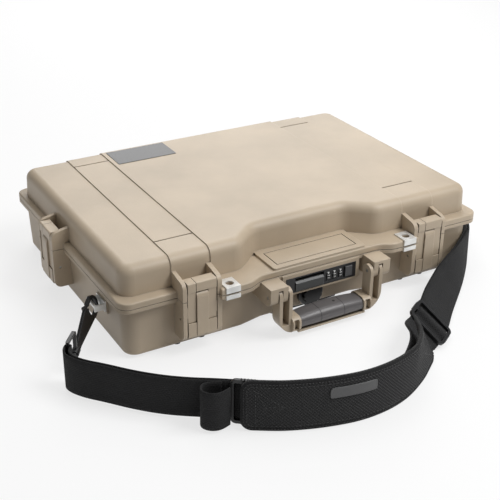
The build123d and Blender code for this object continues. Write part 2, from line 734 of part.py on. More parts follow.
with BuildPart() as handle_pins:
    for way in (-1, 1):
        add(rod((way * (handle_inner_x + 0.4), -handle_pivot_depth, handle_pivot_height),
                (way * (ear_outer_x - 0.3), -handle_pivot_depth, handle_pivot_height), handle_pin_radius))
save(handle_pins.part, "handle_pins")

# ---------------------------------------------------------------- combination lock
pocket_back = -lock_face + 13.0
dial_axis_y = -lock_face + dial_radius - 1.6
dial_xs = [first_dial_x + dial_pitch * index for index in range(dial_count)]
shaft_low = dial_xs[0] - dial_width / 2 - 1.4
shaft_high = dial_xs[-1] + dial_width / 2 + 1.4
release_low = lock_low + 1.6
release_high = release_low + release_height
slide_low = dial_height - slide_height / 2

with BuildPart() as lock_housing:
    add(box(lock_left + 0.1, lock_right - 0.1, -lock_face, -lock_face + lock_depth - 0.4,
            lock_low + 0.1, lock_high - 0.1))
    # pocket of the release plate, taller than the plate
    add(box(release_x - release_width / 2 - lock_clearance, release_x + release_width / 2 + lock_clearance,
            -lock_face - 1, pocket_back, release_low - lock_clearance, lock_high - 1.6), mode=Mode.SUBTRACT)
    for dial_x in dial_xs:
        with BuildPart(mode=Mode.PRIVATE) as slot:
            add(rod((dial_x - dial_width / 2 - 0.5, dial_axis_y, dial_height),
                    (dial_x + dial_width / 2 + 0.5, dial_axis_y, dial_height), dial_radius + 0.5))
        add(slot.part, mode=Mode.SUBTRACT)
    add(rod((shaft_low, dial_axis_y, dial_height), (shaft_high, dial_axis_y, dial_height), dial_shaft_radius),
        mode=Mode.SUBTRACT)
    add(box(slide_x - slide_width / 2 - slide_travel - lock_clearance, slide_x + slide_width / 2 + lock_clearance,
            -lock_face - 1, -lock_face + 8.5, slide_low - lock_clearance,
            slide_low + slide_height + lock_clearance), mode=Mode.SUBTRACT)
save(lock_housing.part, "lock_housing")

with BuildPart() as lock_release:
    with BuildSketch(Plane.YZ.offset(release_x - release_width / 2)) as release_side:
        with BuildLine():
            Polyline((-lock_face - 1.4, release_low), (-lock_face - 1.4, release_high - 2.5),
                     (-lock_face + 1.0, release_high), (pocket_back - release_travel - 0.4, release_high),
                     (pocket_back - release_travel - 0.4, release_low), close=True)
        make_face()
    extrude(amount=release_width)
save(lock_release.part, "lock_release")

for index, dial_x in enumerate(dial_xs):
    with BuildPart() as dial:
        with BuildSketch(Plane.YZ.offset(dial_x - dial_width / 2)):
            with Locations((dial_axis_y, dial_height)):
                Circle(dial_radius)
                Circle(dial_shaft_radius + pin_clearance, mode=Mode.SUBTRACT)
                with PolarLocations(dial_radius, 10, start_angle=18):
                    Circle(0.7, mode=Mode.SUBTRACT)
        extrude(amount=dial_width)
    save(dial.part, f"lock_dial_{index + 1}")

with BuildPart() as lock_shaft:
    add(rod((shaft_low, dial_axis_y, dial_height), (shaft_high, dial_axis_y, dial_height), dial_shaft_radius))
save(lock_shaft.part, "lock_shaft")

with BuildPart() as lock_slide:
    add(box(slide_x - slide_width / 2, slide_x + slide_width / 2, -lock_face - 1.0, -lock_face + 8.1,
            slide_low, slide_low + slide_height))
    fillet(lock_slide.faces().sort_by(Axis.Y)[0].edges(), 0.8)
save(lock_slide.part, "lock_slide")

# ---------------------------------------------------------------- purge valve
with BuildPart() as purge_valve_body:
    add(rod((0, valve_face - valve_thickness, valve_height), (0, valve_face, valve_height), valve_radius))
    add(rod((0, valve_face, valve_height), (0, -base_bay_depth + wall - 1.5, valve_height), valve_stem_radius))
    fillet(purge_valve_body.faces().sort_by(Axis.Y)[0].edges(), 2.0)
save(purge_valve_body.part, "purge_valve_body")

with BuildPart() as purge_valve_cap:
    cap_back = valve_face - valve_thickness
    add(rod((0, cap_back - valve_cap_thickness, valve_height), (0, cap_back, valve_height), valve_cap_radius))
    with BuildSketch(Plane.XZ.offset(-cap_back)):
        with Locations((0, valve_height)):
            with PolarLocations(valve_cap_radius, 12):
                Circle(1.4)
    extrude(amount=valve_cap_thickness, mode=Mode.SUBTRACT)
save(purge_valve_cap.part, "purge_valve_cap")

# ---------------------------------------------------------------- strap anchors and screws
plate_face_x = anchor_face_x + anchor_plate_thickness
anchor_bar_x = plate_face_x + anchor_bar_reach
half_plate = anchor_plate_length / 2

for name, way in (("strap_anchor_left", -1), ("strap_anchor_right", 1)):
    with BuildPart() as anchor:
        add(box(*sorted((way * anchor_face_x, way * plate_face_x)), -anchor_depth - half_plate,
                -anchor_depth + half_plate, anchor_height - anchor_plate_height / 2,
                anchor_height + anchor_plate_height / 2))
        for low in (-anchor_depth - half_plate, -anchor_depth + half_plate - anchor_ear_thickness):
            add(box(*sorted((way * (plate_face_x - 0.5), way * (plate_face_x + anchor_ear_length))),
                    low, low + anchor_ear_thickness,
                    anchor_height - anchor_ear_width / 2, anchor_height + anchor_ear_width / 2))
        add(rod((way * anchor_bar_x, -anchor_depth - half_plate + 0.5, anchor_height),
                (way * anchor_bar_x, -anchor_depth + half_plate - 0.5, anchor_height), anchor_bar_radius))
        for end in (-1, 1):
            screw_y = -anchor_depth + end * screw_spacing / 2
            add(rod((way * (anchor_face_x - 1), screw_y, anchor_height),
                    (way * (plate_face_x + 1), screw_y, anchor_height), screw_radius), mode=Mode.SUBTRACT)
    save(anchor.part, name)

with BuildPart() as anchor_screws:
    for way in (-1, 1):
        for end in (-1, 1):
            screw_y = -anchor_depth + end * screw_spacing / 2
            add(rod((way * (anchor_face_x - screw_length), screw_y, anchor_height),
                    (way * plate_face_x, screw_y, anchor_height), screw_radius))
            add(rod((way * plate_face_x, screw_y, anchor_height),
                    (way * (plate_face_x + screw_head), screw_y, anchor_height), screw_head_radius))
save(anchor_screws.part, "anchor_screws")

# ---------------------------------------------------------------- snap hooks, gates and swivel loops
hook_left = {"side": "left", "bar": Vector(-anchor_bar_x, -anchor_depth, anchor_height),
             "swivel": Vector(-312, -166, 28), "gate_side": Vector(-0.406, 0, 0.913),
             "loop_end": Vector(-327, -185, 28)}
hook_right = {"side": "right", "bar": Vector(anchor_bar_x, -anchor_depth, anchor_height),
              "swivel": Vector(312, -56, 28), "gate_side": Vector(0.406, 0, 0.913),
              "loop_end": Vector(327, -37, 28)}
hook_ring_length = 30.0
hook_ring_width = 24.0
gate_line = (hook_ring_width - hook_bar) / 2
gate_tip = 1.0
gate_swing = 21.0               # degrees
gate_eye_radius = 3.2
gate_eye_thickness = 2.4
gate_pin_radius = 1.2
swivel_pin_radius = 2.2
swivel_boss_radius = 5.0
swivel_boss = 4.0               # half the boss's length

for hook in (hook_left, hook_right):
    run = hook["swivel"] - hook["bar"]
    frame = Plane(origin=hook["bar"], x_dir=run, z_dir=run.cross(hook["gate_side"]))
    neck_end = run.length - swivel_boss - 0.3
    # the bar crosses the ring at a slant, so the ring's end stands further off than the bar's radius
    slant = (anchor_bar_radius + hook_thickness / 2 * abs(frame.x_dir.Y)) / abs(frame.z_dir.Y)
    hook_ring_start = -slant - hook_slack - hook_bar
    hook_ring_middle = hook_ring_start + hook_ring_length / 2
    gate_pivot = hook_ring_start + hook_ring_length - 4.0
    with BuildPart() as snap_hook:
        with BuildSketch(frame.offset(-hook_thickness / 2)):
            with Locations((hook_ring_middle, 0)):
                RectangleRounded(hook_ring_length, hook_ring_width, hook_ring_width / 2 - 0.5)
            with BuildLine():
                Polyline((hook_ring_middle + 4, -hook_ring_width / 2 + 0.6), (gate_pivot + 1, hook_ring_width / 2 + 2),
                         (gate_pivot + 4, hook_ring_width / 2 + 2), (gate_pivot + 4.5, hook_ring_width / 2 - 1),
                         (neck_end - 14, 5.5), (neck_end - 6, 4.4), (neck_end, 4.4), (neck_end, -4.4),
                         (neck_end - 8, -4.4), close=True)
            make_face()
            with Locations((hook_ring_middle, 0)):
                RectangleRounded(hook_ring_length - 2 * hook_bar, hook_ring_width - 2 * hook_bar,
                                 hook_ring_width / 2 - hook_bar - 0.4, mode=Mode.SUBTRACT)
            # opening that the gate closes
            with Locations(((gate_tip + gate_pivot) / 2 - 0.2, gate_line + 1.4)):
                Rectangle(gate_pivot - gate_tip + 0.4, hook_bar + 3.0, mode=Mode.SUBTRACT)
            # room for the gate to swing inwards
            for turn in (gate_swing / 2, gate_swing):
                with Locations(Location((gate_pivot, gate_line, 0), (0, 0, turn))):
                    Rectangle(gate_pivot - gate_tip, hook_bar, align=(Align.MAX, Align.CENTER),
                              mode=Mode.SUBTRACT)
        extrude(amount=hook_thickness)
        # slot for the gate's eye, with its pin
        with BuildSketch(frame.offset(-gate_eye_thickness / 2 - 0.2)):
            with Locations((gate_pivot, gate_line)):
                Circle(gate_eye_radius + 0.4)
        extrude(amount=gate_eye_thickness + 0.4, mode=Mode.SUBTRACT)
        with BuildSketch(frame.offset(-hook_thickness / 2 + 0.4)):
            with Locations((gate_pivot, gate_line)):
                Circle(gate_pin_radius)
        extrude(amount=hook_thickness - 0.8)
        # ridges for the thumb
        for index in range(6):
            with BuildSketch(frame.offset(-hook_thickness / 2 + 0.4)):
                with Locations((gate_pivot + 7 + 2.8 * index, hook_ring_width / 2 - 1.8 - 0.45 * index)):
                    Circle(0.9)
            extrude(amount=hook_thickness - 0.8)
        # pin that turns in the loop, with its head
        add(rod(hook["bar"] + run.normalized() * (neck_end - 1),
                hook["swivel"] + run.normalized() * (swivel_boss + 1), swivel_pin_radius - pin_clearance))
        add(rod(hook["swivel"] + run.normalized() * (swivel_boss + 0.3),
                hook["swivel"] + run.normalized() * (swivel_boss + 2.3), 3.6))
    save(snap_hook.part, f"snap_hook_{hook['side']}")

    with BuildPart() as gate:
        with BuildSketch(frame.offset(-gate_eye_thickness / 2)):
            with Locations((gate_pivot, gate_line)):
                Circle(gate_eye_radius)
            with Locations(((gate_tip + gate_pivot) / 2 + 0.1, gate_line)):
                Rectangle(gate_pivot - gate_tip - 0.6, hook_bar - 0.8)
            with Locations((gate_pivot, gate_line)):
                Circle(gate_pin_radius + pin_clearance, mode=Mode.SUBTRACT)
        extrude(amount=gate_eye_thickness)
        with BuildSketch(frame.offset(-hook_thickness / 2)):
            with Locations(((gate_tip + gate_pivot) / 2 - 2, gate_line)):
                Rectangle(gate_pivot - gate_tip - 4.8, hook_bar - 0.4)
        extrude(amount=hook_thickness)
    save(gate.part, f"hook_gate_{hook['side']}")

    reach = hook["loop_end"] - hook["swivel"]
    upright = Plane(origin=hook["swivel"], x_dir=reach, z_dir=reach.cross(Vector(0, 0, 1)))
    rail = loop_rail_height / 2 - loop_bar / 2
    with BuildPart() as swivel_loop:
        with BuildSketch(upright.offset(-loop_thickness / 2)):
            with Locations((reach.length / 2, 0)):
                RectangleRounded(reach.length + loop_bar, loop_rail_height, 4.0)
                RectangleRounded(reach.length - loop_bar, loop_rail_height - 2 * loop_bar, 2.0,
                                 mode=Mode.SUBTRACT)
            with Locations((reach.length, 0)):
                Rectangle(loop_bar + 2.0, loop_rail_height - 2 * loop_bar, mode=Mode.SUBTRACT)
        extrude(amount=loop_thickness)
        add(rod(hook["loop_end"] - Vector(0, 0, rail), hook["loop_end"] + Vector(0, 0, rail), loop_bar_radius))
        for end in (-rail, rail):
            add(rod(hook["loop_end"] + Vector(0, 0, end - loop_bar / 2),
                    hook["loop_end"] + Vector(0, 0, end + loop_bar / 2), loop_thickness / 2))
        add(rod(hook["swivel"] - run.normalized() * swivel_boss, hook["swivel"] + run.normalized() * swivel_boss,
                swivel_boss_radius))
        add(rod(hook["swivel"] - run.normalized() * 12, hook["swivel"] + run.normalized() * 12,
                swivel_pin_radius), mode=Mode.SUBTRACT)
    save(swivel_loop.part, f"swivel_loop_{hook['side']}")

# ---------------------------------------------------------------- webbing
strap_route = [(-335.52, -190.63), (-334.8, -204.0), (-324.5, -222.0), (-308.0, -240.0), (-287.0, -266.0),
               (-262.0, -291.0), (-233.0, -312.0), (-204.0, -329.0), (-172.0, -353.0), (-143.0, -372.0),
               (-107.0, -387.6), (-66.0, -395.0), (-22.0, -389.0), (22.2, -367.2), (49.5, -347.1),
               (64.7, -334.4), (79.5, -330.8), (116.5, -307.3), (148.0, -277.0), (186.0, -245.0),
               (224.0, -211.0), (266.0, -168.5), (286.0, -142.0), (299.0, -110.0), (306.0, -87.0),
               (319.0, -71.0), (332.0, -57.0), (339.97, -43.16)]
strap_lean = {0: 0, 12: 0, 13: 14, 14: 28, 15: 45, 16: 52, 17: 52, 18: 48, 19: 38, 20: 16, 21: 2, 22: 4,
              23: 2, 24: 0, 28: 0}
upright_until = 12              # last point of the route before the webbing starts to lean
left_slider_point = 7           # each slider lies on the run that starts at its point
right_slider_point = 16
slider_share = 0.55             # middle of a slider, as a share of its run
straight_again = 24             # first point of the route where the webbing stands upright again
return_left_route = [(-193.0, -333.2), (-213.0, -319.3), (-234.5, -306.2), (-259.5, -287.2), (-284.2, -262.7),
                     (-304.9, -237.0), (-321.2, -219.9), (-331.0, -202.8), (-328.4, -192.0)]
return_right_route = [(316.6, -68.9), (329.4, -55.1), (332.08, -45.09)]
tail_route = [(-210.6, -327.8), (-221.1, -321.6), (-232.6, -321.7), (-237.5, -332.0), (-231.0, -342.0),
              (-219.0, -345.5), (-208.0, -341.0)]
pad_route = [(-200.4, -349.4), (-178.5, -363.4), (-155.6, -376.3), (-115.2, -391.1), (-69.9, -400.0),
             (-19.2, -394.2), (25.5, -372.4), (53.2, -352.2), (69.2, -340.6)]
pad_lean = {0: 0, 5.5: 0, 6: 6, 7: 18, 8: 30}
patch_first = 8                 # the patch follows these sections of the pad
patch_last = 11


def corner_radii(route):
    """For each inner point, the largest radius that leaves a tenth of the shorter run straight."""
    radii = []
    for before, here, after in zip(route, route[1:], route[2:]):
        inward, outward = Vector(*here) - Vector(*before), Vector(*after) - Vector(*here)
        turn = radians(inward.get_angle(outward))
        radii.append(0.45 * min(inward.length, outward.length) * cos(turn / 2) / sin(turn / 2))
    return radii


def lean_at(table, index):
    """A lean at any point of a route, from the few that are given."""
    low = max(point for point in table if point <= index)
    high = min(point for point in table if point >= index)
    share = 0 if high == low else (index - low) / (high - low)
    return table[low] + share * (table[high] - table[low])


def section(x, y, heading, lean, width, low):
    """Plane square to a strip: x goes up across it and z along it; it leans to the left of its run."""
    ahead = Vector(*heading).normalized()
    leftward = Vector(-ahead.Y, ahead.X, 0)
    across = leftward * sin(radians(lean)) + Vector(0, 0, cos(radians(lean)))
    middle = Vector(x, y, low) + across * (width / 2)
    return Plane(origin=middle, x_dir=across, z_dir=ahead)


def stations(route, leans, first=0):
    """Sections at both ends and in the middle of each rounded corner: x, y, heading and lean."""
    radii = corner_radii(route)
    spots = [(*route[0], Vector(*route[1]) - Vector(*route[0]), lean_at(leans, first))]
    for index in range(1, len(route) - 1):
        before, here, after = (Vector(*route[index + step]) for step in (-1, 0, 1))
        inward, outward = (here - before).normalized(), (after - here).normalized()
        half_turn = radians(inward.get_angle(outward)) / 2
        reach = radii[index - 1] * sin(half_turn) / cos(half_turn)
        rise = radii[index - 1] * (1 / cos(half_turn) - 1)
        lean = lean_at(leans, first + index)
        lean_in = lean_at(leans, first + index - reach / (here - before).length)
        lean_out = lean_at(leans, first + index + reach / (after - here).length)
        start, middle = here - inward * reach, here + (outward - inward).normalized() * rise
        end = here + outward * reach
        spots.append((start.X, start.Y, inward, lean_in))
        spots.append((middle.X, middle.Y, inward + outward, lean))
        spots.append((end.X, end.Y, outward, lean_out))
    spots.append((*route[-1], Vector(*route[-1]) - Vector(*route[-2]), lean_at(leans, first + len(route) - 1)))
    return spots


def leaning_strip(spots, width, thickness, low, shift=0.0):
    """A strip through a list of stations; shift moves it square to its face, away from its left."""
    with BuildPart(mode=Mode.PRIVATE) as strip:
        for x, y, heading, lean in spots:
            with BuildSketch(section(x, y, heading, lean, width, low)):
                with Locations((0, shift)):
                    Rectangle(width, thickness)
        loft(ruled=True)
    return strip.part


def upright_strip(path):
    """Webbing on its edge along a flat path."""
    with BuildPart(mode=Mode.PRIVATE) as strip:
        with BuildSketch(Plane.XY.offset(webbing_low)):
            trace(path, line_width=webbing_thickness)
        extrude(amount=webbing_width)
    return strip.part


def rounded_path(route, turn=None):
    """Straight runs joined by tangent arcs, and at the end the turn round a loop's bar."""
    with BuildLine(mode=Mode.PRIVATE) as line:
        FilletPolyline(*route, radius=corner_radii(route))
        if turn:
            ThreePointArc(*turn)
    return line.line


def bar_turn(hook, away):
    """Start, middle and end of the turn round a loop's bar, for webbing that leaves along a direction."""
    radius = loop_bar_radius + loop_slack + webbing_thickness / 2
    centre = Vector(hook["loop_end"].X, hook["loop_end"].Y, 0)
    beside = Vector(-away.Y, away.X, 0)
    return [(spot.X, spot.Y) for spot in (centre + beside * radius, centre - away * radius,
                                          centre - beside * radius)]


reach_left = (hook_left["loop_end"] - hook_left["swivel"]).normalized()
reach_right = (hook_right["loop_end"] - hook_right["swivel"]).normalized()
turn_left = bar_turn(hook_left, reach_left)
turn_right = bar_turn(hook_right, Vector(reach_right.Y, -reach_right.X, 0))
first_corner, next_corner = (Vector(*strap_route[index]) for index in (upright_until, upright_until + 1))
meeting = (first_corner + next_corner) * 0.5
meeting_point = (meeting.X, meeting.Y)

# Main webbing: upright from the left loop to behind the pad, then leaning over to the right loop
front_route = [turn_left[2], *strap_route[:upright_until + 1], meeting_point]
front_path = rounded_path(front_route)
with BuildPart() as strap_front:
    add(upright_strip(front_path))
save(strap_front.part, "strap_front")

back_route = [meeting_point, *strap_route[upright_until + 1:], turn_right[0]]
with BuildPart() as strap_back:
    add(leaning_strip(stations(back_route, strap_lean, upright_until), webbing_width, webbing_thickness,
                      webbing_low))
save(strap_back.part, "strap_back")

# Inner layers, from each slider to its loop and round the bar
with BuildPart() as strap_return_left:
    add(upright_strip(rounded_path([*return_left_route, turn_left[0]], turn_left)))
save(strap_return_left.part, "strap_return_left")

inner_route = strap_route[right_slider_point:straight_again + 1]
last_run = (Vector(*inner_route[-1]) - Vector(*inner_route[-2])).normalized()
inner_end = Vector(*inner_route[-1]) + Vector(-last_run.Y, last_run.X, 0) * layer_pitch
outer_route = [(inner_end.X, inner_end.Y), *return_right_route, turn_right[2]]
with BuildPart() as strap_return_right:
    add(leaning_strip(stations(inner_route, strap_lean, right_slider_point), webbing_width, webbing_thickness,
                      webbing_low, -layer_pitch))
    add(upright_strip(rounded_path(outer_route, turn_right[::-1])))
save(strap_return_right.part, "strap_return_right")

with BuildPart() as strap_tail:
    add(upright_strip(rounded_path(tail_route)))
save(strap_tail.part, "strap_tail")

for name, route in (("front", front_route), ("back", back_route), ("return left", return_left_route),
                    ("return right", outer_route), ("tail", tail_route)):
    print(name, "corner radii", [round(radius, 1) for radius in corner_radii(route)])
front_length = sum(edge.length for edge in front_path.edges())
print("front volume over section times length",
      round(strap_front.part.volume / (webbing_width * webbing_thickness * front_length), 4))

# Three-bar sliders, flat on the outer face of the webbing
for name, point in (("strap_slider_left", left_slider_point), ("strap_slider_right", right_slider_point)):
    here, after = Vector(*strap_route[point]), Vector(*strap_route[point + 1])
    spot = here + (after - here) * slider_share
    lean = lean_at(strap_lean, point + slider_share)
    across = section(spot.X, spot.Y, after - here, lean, webbing_width, webbing_low)
    lift = webbing_thickness / 2 + slider_gap
    face = Plane(origin=across.origin + across.y_dir * lift, x_dir=across.z_dir, z_dir=across.y_dir)
    window_x = (slider_length - 2 * slider_bar - slider_window) / 2
    with BuildPart() as slider:
        with BuildSketch(face):
            with Locations((0, slider_lift)):
                RectangleRounded(slider_length, slider_width, 7.0)
                with Locations((-window_x, 0), (window_x, 0)):
                    RectangleRounded(slider_window, slider_width - 2 * slider_bar, 2.5, mode=Mode.SUBTRACT)
        extrude(amount=slider_thickness)
        # grip ridges on the two short ends
        for end in (-1, 1):
            for index in range(5):
                with BuildSketch(face.offset(0.6)):
                    with Locations((3.6 * (index - 2), slider_lift + end * slider_width / 2)):
                        Circle(0.8)
                extrude(amount=slider_thickness - 1.2)
    save(slider.part, name)

# Shoulder pad in front of the webbing, with a bare patch sewn to its face
pad_spots = stations(pad_route, pad_lean)
with BuildPart() as shoulder_pad:
    add(leaning_strip(pad_spots, pad_height, pad_thickness, pad_low))
save(shoulder_pad.part, "shoulder_pad")

with BuildPart() as pad_patch:
    add(leaning_strip(pad_spots[patch_first:patch_last + 1], patch_height, patch_thickness,
                      pad_low + (pad_height - patch_height) / 2, (pad_thickness + patch_thickness) / 2))
save(pad_patch.part, "pad_patch")
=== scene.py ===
"""Laptop hard case: its finishes, shoulder strap, pad, foam and small fittings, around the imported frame."""
import json
from math import ceil, cos, pi, radians, sin, sqrt

import bpy
from mathutils import Matrix, Vector
from mathutils.bvhtree import BVHTree


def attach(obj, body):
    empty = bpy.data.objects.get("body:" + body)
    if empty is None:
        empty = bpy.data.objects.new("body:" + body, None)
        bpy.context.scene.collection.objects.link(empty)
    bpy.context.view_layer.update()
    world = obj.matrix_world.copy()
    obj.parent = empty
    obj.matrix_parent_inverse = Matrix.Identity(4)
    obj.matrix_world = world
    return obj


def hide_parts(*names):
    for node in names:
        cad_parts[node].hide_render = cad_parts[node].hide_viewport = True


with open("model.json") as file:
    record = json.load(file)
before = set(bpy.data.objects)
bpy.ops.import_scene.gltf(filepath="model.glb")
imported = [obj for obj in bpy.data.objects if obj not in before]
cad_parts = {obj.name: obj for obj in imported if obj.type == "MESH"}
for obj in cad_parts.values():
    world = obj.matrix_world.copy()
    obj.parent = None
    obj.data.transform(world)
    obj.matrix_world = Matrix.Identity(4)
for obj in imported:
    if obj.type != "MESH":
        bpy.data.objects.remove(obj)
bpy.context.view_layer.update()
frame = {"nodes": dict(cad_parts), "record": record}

MM = 0.001
UP = Vector((0, 0, 1))

# ---------------------------------------------------------------- camera, lamps, floor
camera_place = Vector((-0.6237, -1.0951, 0.6573))
camera_turn, camera_height, camera_roll = radians(-30.13), radians(27.33), radians(0.74)
camera_lens = 72.3


def add_camera():
    """The camera at the photograph's angle."""
    back = Vector((sin(camera_turn) * cos(camera_height), -cos(camera_turn) * cos(camera_height),
                   sin(camera_height)))
    level_right = Vector((cos(camera_turn), sin(camera_turn), 0))
    level_up = back.cross(level_right)
    right = level_right * cos(camera_roll) + level_up * sin(camera_roll)
    up = level_up * cos(camera_roll) - level_right * sin(camera_roll)
    data = bpy.data.cameras.new("camera")
    data.lens = camera_lens
    data.sensor_width = 36
    camera = bpy.data.objects.new("camera", data)
    camera.matrix_world = Matrix.Translation(camera_place) @ Matrix((right, up, back)).transposed().to_4x4()
    bpy.context.scene.collection.objects.link(camera)
    bpy.context.scene.camera = camera


def add_softbox(name, place, aim, size, power, tint=(1, 1, 1)):
    """A square soft lamp that looks at a point."""
    data = bpy.data.lights.new(name, "AREA")
    data.shape = "SQUARE"
    data.size = size
    data.energy = power
    data.color = tint
    lamp = bpy.data.objects.new(name, data)
    lamp.location = place
    lamp.rotation_euler = (Vector(aim) - Vector(place)).to_track_quat("-Z", "Y").to_euler()
    bpy.context.scene.collection.objects.link(lamp)


# ---------------------------------------------------------------- node helpers
def add_node(tree, kind, inputs=None, **settings):
    """A node with its settings, and its inputs given as values or as sockets to link."""
    node = tree.nodes.new(kind)
    for name, value in settings.items():
        setattr(node, name, value)
    for name, value in (inputs or {}).items():
        if isinstance(value, bpy.types.NodeSocket):
            tree.links.new(value, node.inputs[name])
        else:
            node.inputs[name].default_value = value
    return node


def sum_up(tree, operation, first, second=0.5, third=0.5):
    """The result of one Math node."""
    return add_node(tree, "ShaderNodeMath", {0: first, 1: second, 2: third}, operation=operation).outputs[0]


def blend_colours(tree, share, first, second, kind="MIX"):
    """The result of mixing two colours."""
    node = add_node(tree, "ShaderNodeMix", {0: share, 6: first, 7: second}, data_type="RGBA", blend_type=kind)
    return node.outputs[2]


def spread_value(tree, value, low, high, to_low, to_high):
    """A value moved from one range to another, held at its ends."""
    node = add_node(tree, "ShaderNodeMapRange", {0: value, 1: low, 2: high, 3: to_low, 4: to_high})
    return node.outputs[0]


def start_group(name, inputs, outputs):
    """An empty node group with its named sockets; returns the tree, its inputs and the output node."""
    tree = bpy.data.node_groups.new(name, "ShaderNodeTree")
    for label, kind, value in inputs:
        socket = tree.interface.new_socket(label, in_out="INPUT", socket_type=kind)
        if value is not None:
            socket.default_value = value
    for label, kind in outputs:
        tree.interface.new_socket(label, in_out="OUTPUT", socket_type=kind)
    return tree, tree.nodes.new("NodeGroupInput").outputs, tree.nodes.new("NodeGroupOutput")


def place_group(tree, group, **inputs):
    """A group placed in a material; words in input names are joined by _."""
    node = tree.nodes.new("ShaderNodeGroup")
    node.node_tree = group
    for name, value in inputs.items():
        socket = node.inputs[name.replace("_", " ")]
        if isinstance(value, bpy.types.NodeSocket):
            tree.links.new(value, socket)
        else:
            socket.default_value = value
    return node.outputs


FLOAT, VECTOR = "NodeSocketFloat", "NodeSocketVector"


# ---------------------------------------------------------------- shared effects
def make_moulded_grain():
    """Fine stipple of a moulded surface, with a broad mottle under it."""
    tree, given, out = start_group(
        "Moulded grain",
        [("Grain size", FLOAT, 0.0012), ("Pit share", FLOAT, 0.35)],
        [("Height", FLOAT), ("Mottle", FLOAT)])
    place = add_node(tree, "ShaderNodeTexCoord").outputs["Object"]
    scale = sum_up(tree, "DIVIDE", 1.0, given["Grain size"])
    fine = add_node(tree, "ShaderNodeTexNoise", {"Vector": place, "Scale": scale, "Detail": 3.0,
                                                 "Roughness": 0.6}).outputs[0]
    pits = add_node(tree, "ShaderNodeTexVoronoi", {"Vector": place, "Scale": scale}).outputs[0]
    height = add_node(tree, "ShaderNodeMix", {0: given["Pit share"], 2: fine, 3: pits}).outputs[0]
    broad = add_node(tree, "ShaderNodeTexNoise", {"Vector": place, "Scale": 9.0, "Detail": 4.0,
                                                  "Roughness": 0.55}).outputs[0]
    tree.links.new(height, out.inputs["Height"])
    tree.links.new(broad, out.inputs["Mottle"])
    return tree


def make_worn_highlit_edges():
    """Rounded corners, and a mask that is 1 along the outer corners, where the colour is lightened: partly
    wear, partly painted highlight.
    """
    tree, given, out = start_group("Worn and highlit edges", [("Radius", FLOAT, 0.0008)],
                                   [("Normal", VECTOR), ("Wear and highlight", FLOAT)])
    rounded = add_node(tree, "ShaderNodeBevel", {"Radius": given["Radius"]}, samples=6).outputs[0]
    wide = sum_up(tree, "MULTIPLY", given["Radius"], 1.6)
    softer = add_node(tree, "ShaderNodeBevel", {"Radius": wide}, samples=6).outputs[0]
    flat = add_node(tree, "ShaderNodeNewGeometry").outputs["Normal"]
    agree = add_node(tree, "ShaderNodeVectorMath", {0: softer, 1: flat},
                     operation="DOT_PRODUCT").outputs["Value"]
    wear_and_highlight = spread_value(tree, agree, 0.99, 0.80, 0.0, 1.0)
    tree.links.new(rounded, out.inputs["Normal"])
    tree.links.new(wear_and_highlight, out.inputs["Wear and highlight"])
    return tree


def make_cloth_weave():
    """Crossed threads on a strip's own length and width; Slant 1 turns them to diamonds."""
    tree, given, out = start_group(
        "Cloth weave",
        [("Along", FLOAT, 0.001), ("Across", FLOAT, 0.002), ("Slant", FLOAT, 0.0), ("Stagger", FLOAT, 0.5)],
        [("Height", FLOAT), ("Thread", FLOAT), ("Fuzz", FLOAT)])
    strip = add_node(tree, "ShaderNodeUVMap", uv_map="strip").outputs[0]
    parts = add_node(tree, "ShaderNodeSeparateXYZ", {0: strip}).outputs
    leaned = sum_up(tree, "MULTIPLY_ADD", parts[1], given["Slant"], parts[0])
    counter = sum_up(tree, "MULTIPLY_ADD", parts[0], sum_up(tree, "MULTIPLY", given["Slant"], -1.0), parts[1])
    column = sum_up(tree, "DIVIDE", counter, given["Across"])
    shift = sum_up(tree, "MULTIPLY", sum_up(tree, "FLOORED_MODULO", sum_up(tree, "FLOOR", column), 2.0),
                   given["Stagger"])
    row = sum_up(tree, "ADD", sum_up(tree, "DIVIDE", leaned, given["Along"]), shift)
    ridge = sum_up(tree, "ABSOLUTE", sum_up(tree, "SINE", sum_up(tree, "MULTIPLY", row, pi)))
    rib = sum_up(tree, "ABSOLUTE", sum_up(tree, "SINE", sum_up(tree, "MULTIPLY", column, pi)))
    height = sum_up(tree, "MULTIPLY", ridge, sum_up(tree, "POWER", rib, 0.6))
    fuzz = add_node(tree, "ShaderNodeTexNoise", {"Vector": strip, "Scale": 140.0, "Detail": 5.0}).outputs[0]
    tree.links.new(height, out.inputs["Height"])
    tree.links.new(sum_up(tree, "POWER", ridge, 0.7), out.inputs["Thread"])
    tree.links.new(fuzz, out.inputs["Fuzz"])
    return tree


def make_brushed_lines():
    """Fine lines drawn along X by a brush."""
    tree, given, out = start_group("Brushed lines", [("Pitch", FLOAT, 0.0004)],
                                   [("Height", FLOAT), ("Streak", FLOAT)])
    place = add_node(tree, "ShaderNodeTexCoord").outputs["Object"]
    scale = sum_up(tree, "DIVIDE", 1.0, given["Pitch"])
    drawn = add_node(tree, "ShaderNodeMapping", {"Vector": place, "Scale": (0.04, 1.0, 1.0)}).outputs[0]
    lines = add_node(tree, "ShaderNodeTexNoise", {"Vector": drawn, "Scale": scale, "Detail": 2.0}).outputs[0]
    smear = add_node(tree, "ShaderNodeTexNoise", {"Vector": place, "Scale": 60.0, "Detail": 3.0}).outputs[0]
    tree.links.new(lines, out.inputs["Height"])
    tree.links.new(smear, out.inputs["Streak"])
    return tree


def make_crevice_shade():
    """Painted shade for joints, grooves and corners: how deep a point lies in one, 0 in the open, 1 at the
    bottom.
    """
    tree, given, out = start_group("Crevice shade", [("Reach", FLOAT, 0.004)], [("Depth", FLOAT)])
    clear = add_node(tree, "ShaderNodeAmbientOcclusion", {"Distance": given["Reach"]},
                     samples=8).outputs["AO"]
    tree.links.new(spread_value(tree, clear, 0.62, 0.18, 0.0, 1.0), out.inputs["Depth"])
    return tree


moulded_grain = make_moulded_grain()
crevice_shade = make_crevice_shade()
worn_highlit_edges = make_worn_highlit_edges()
cloth_weave = make_cloth_weave()
brushed_lines = make_brushed_lines()


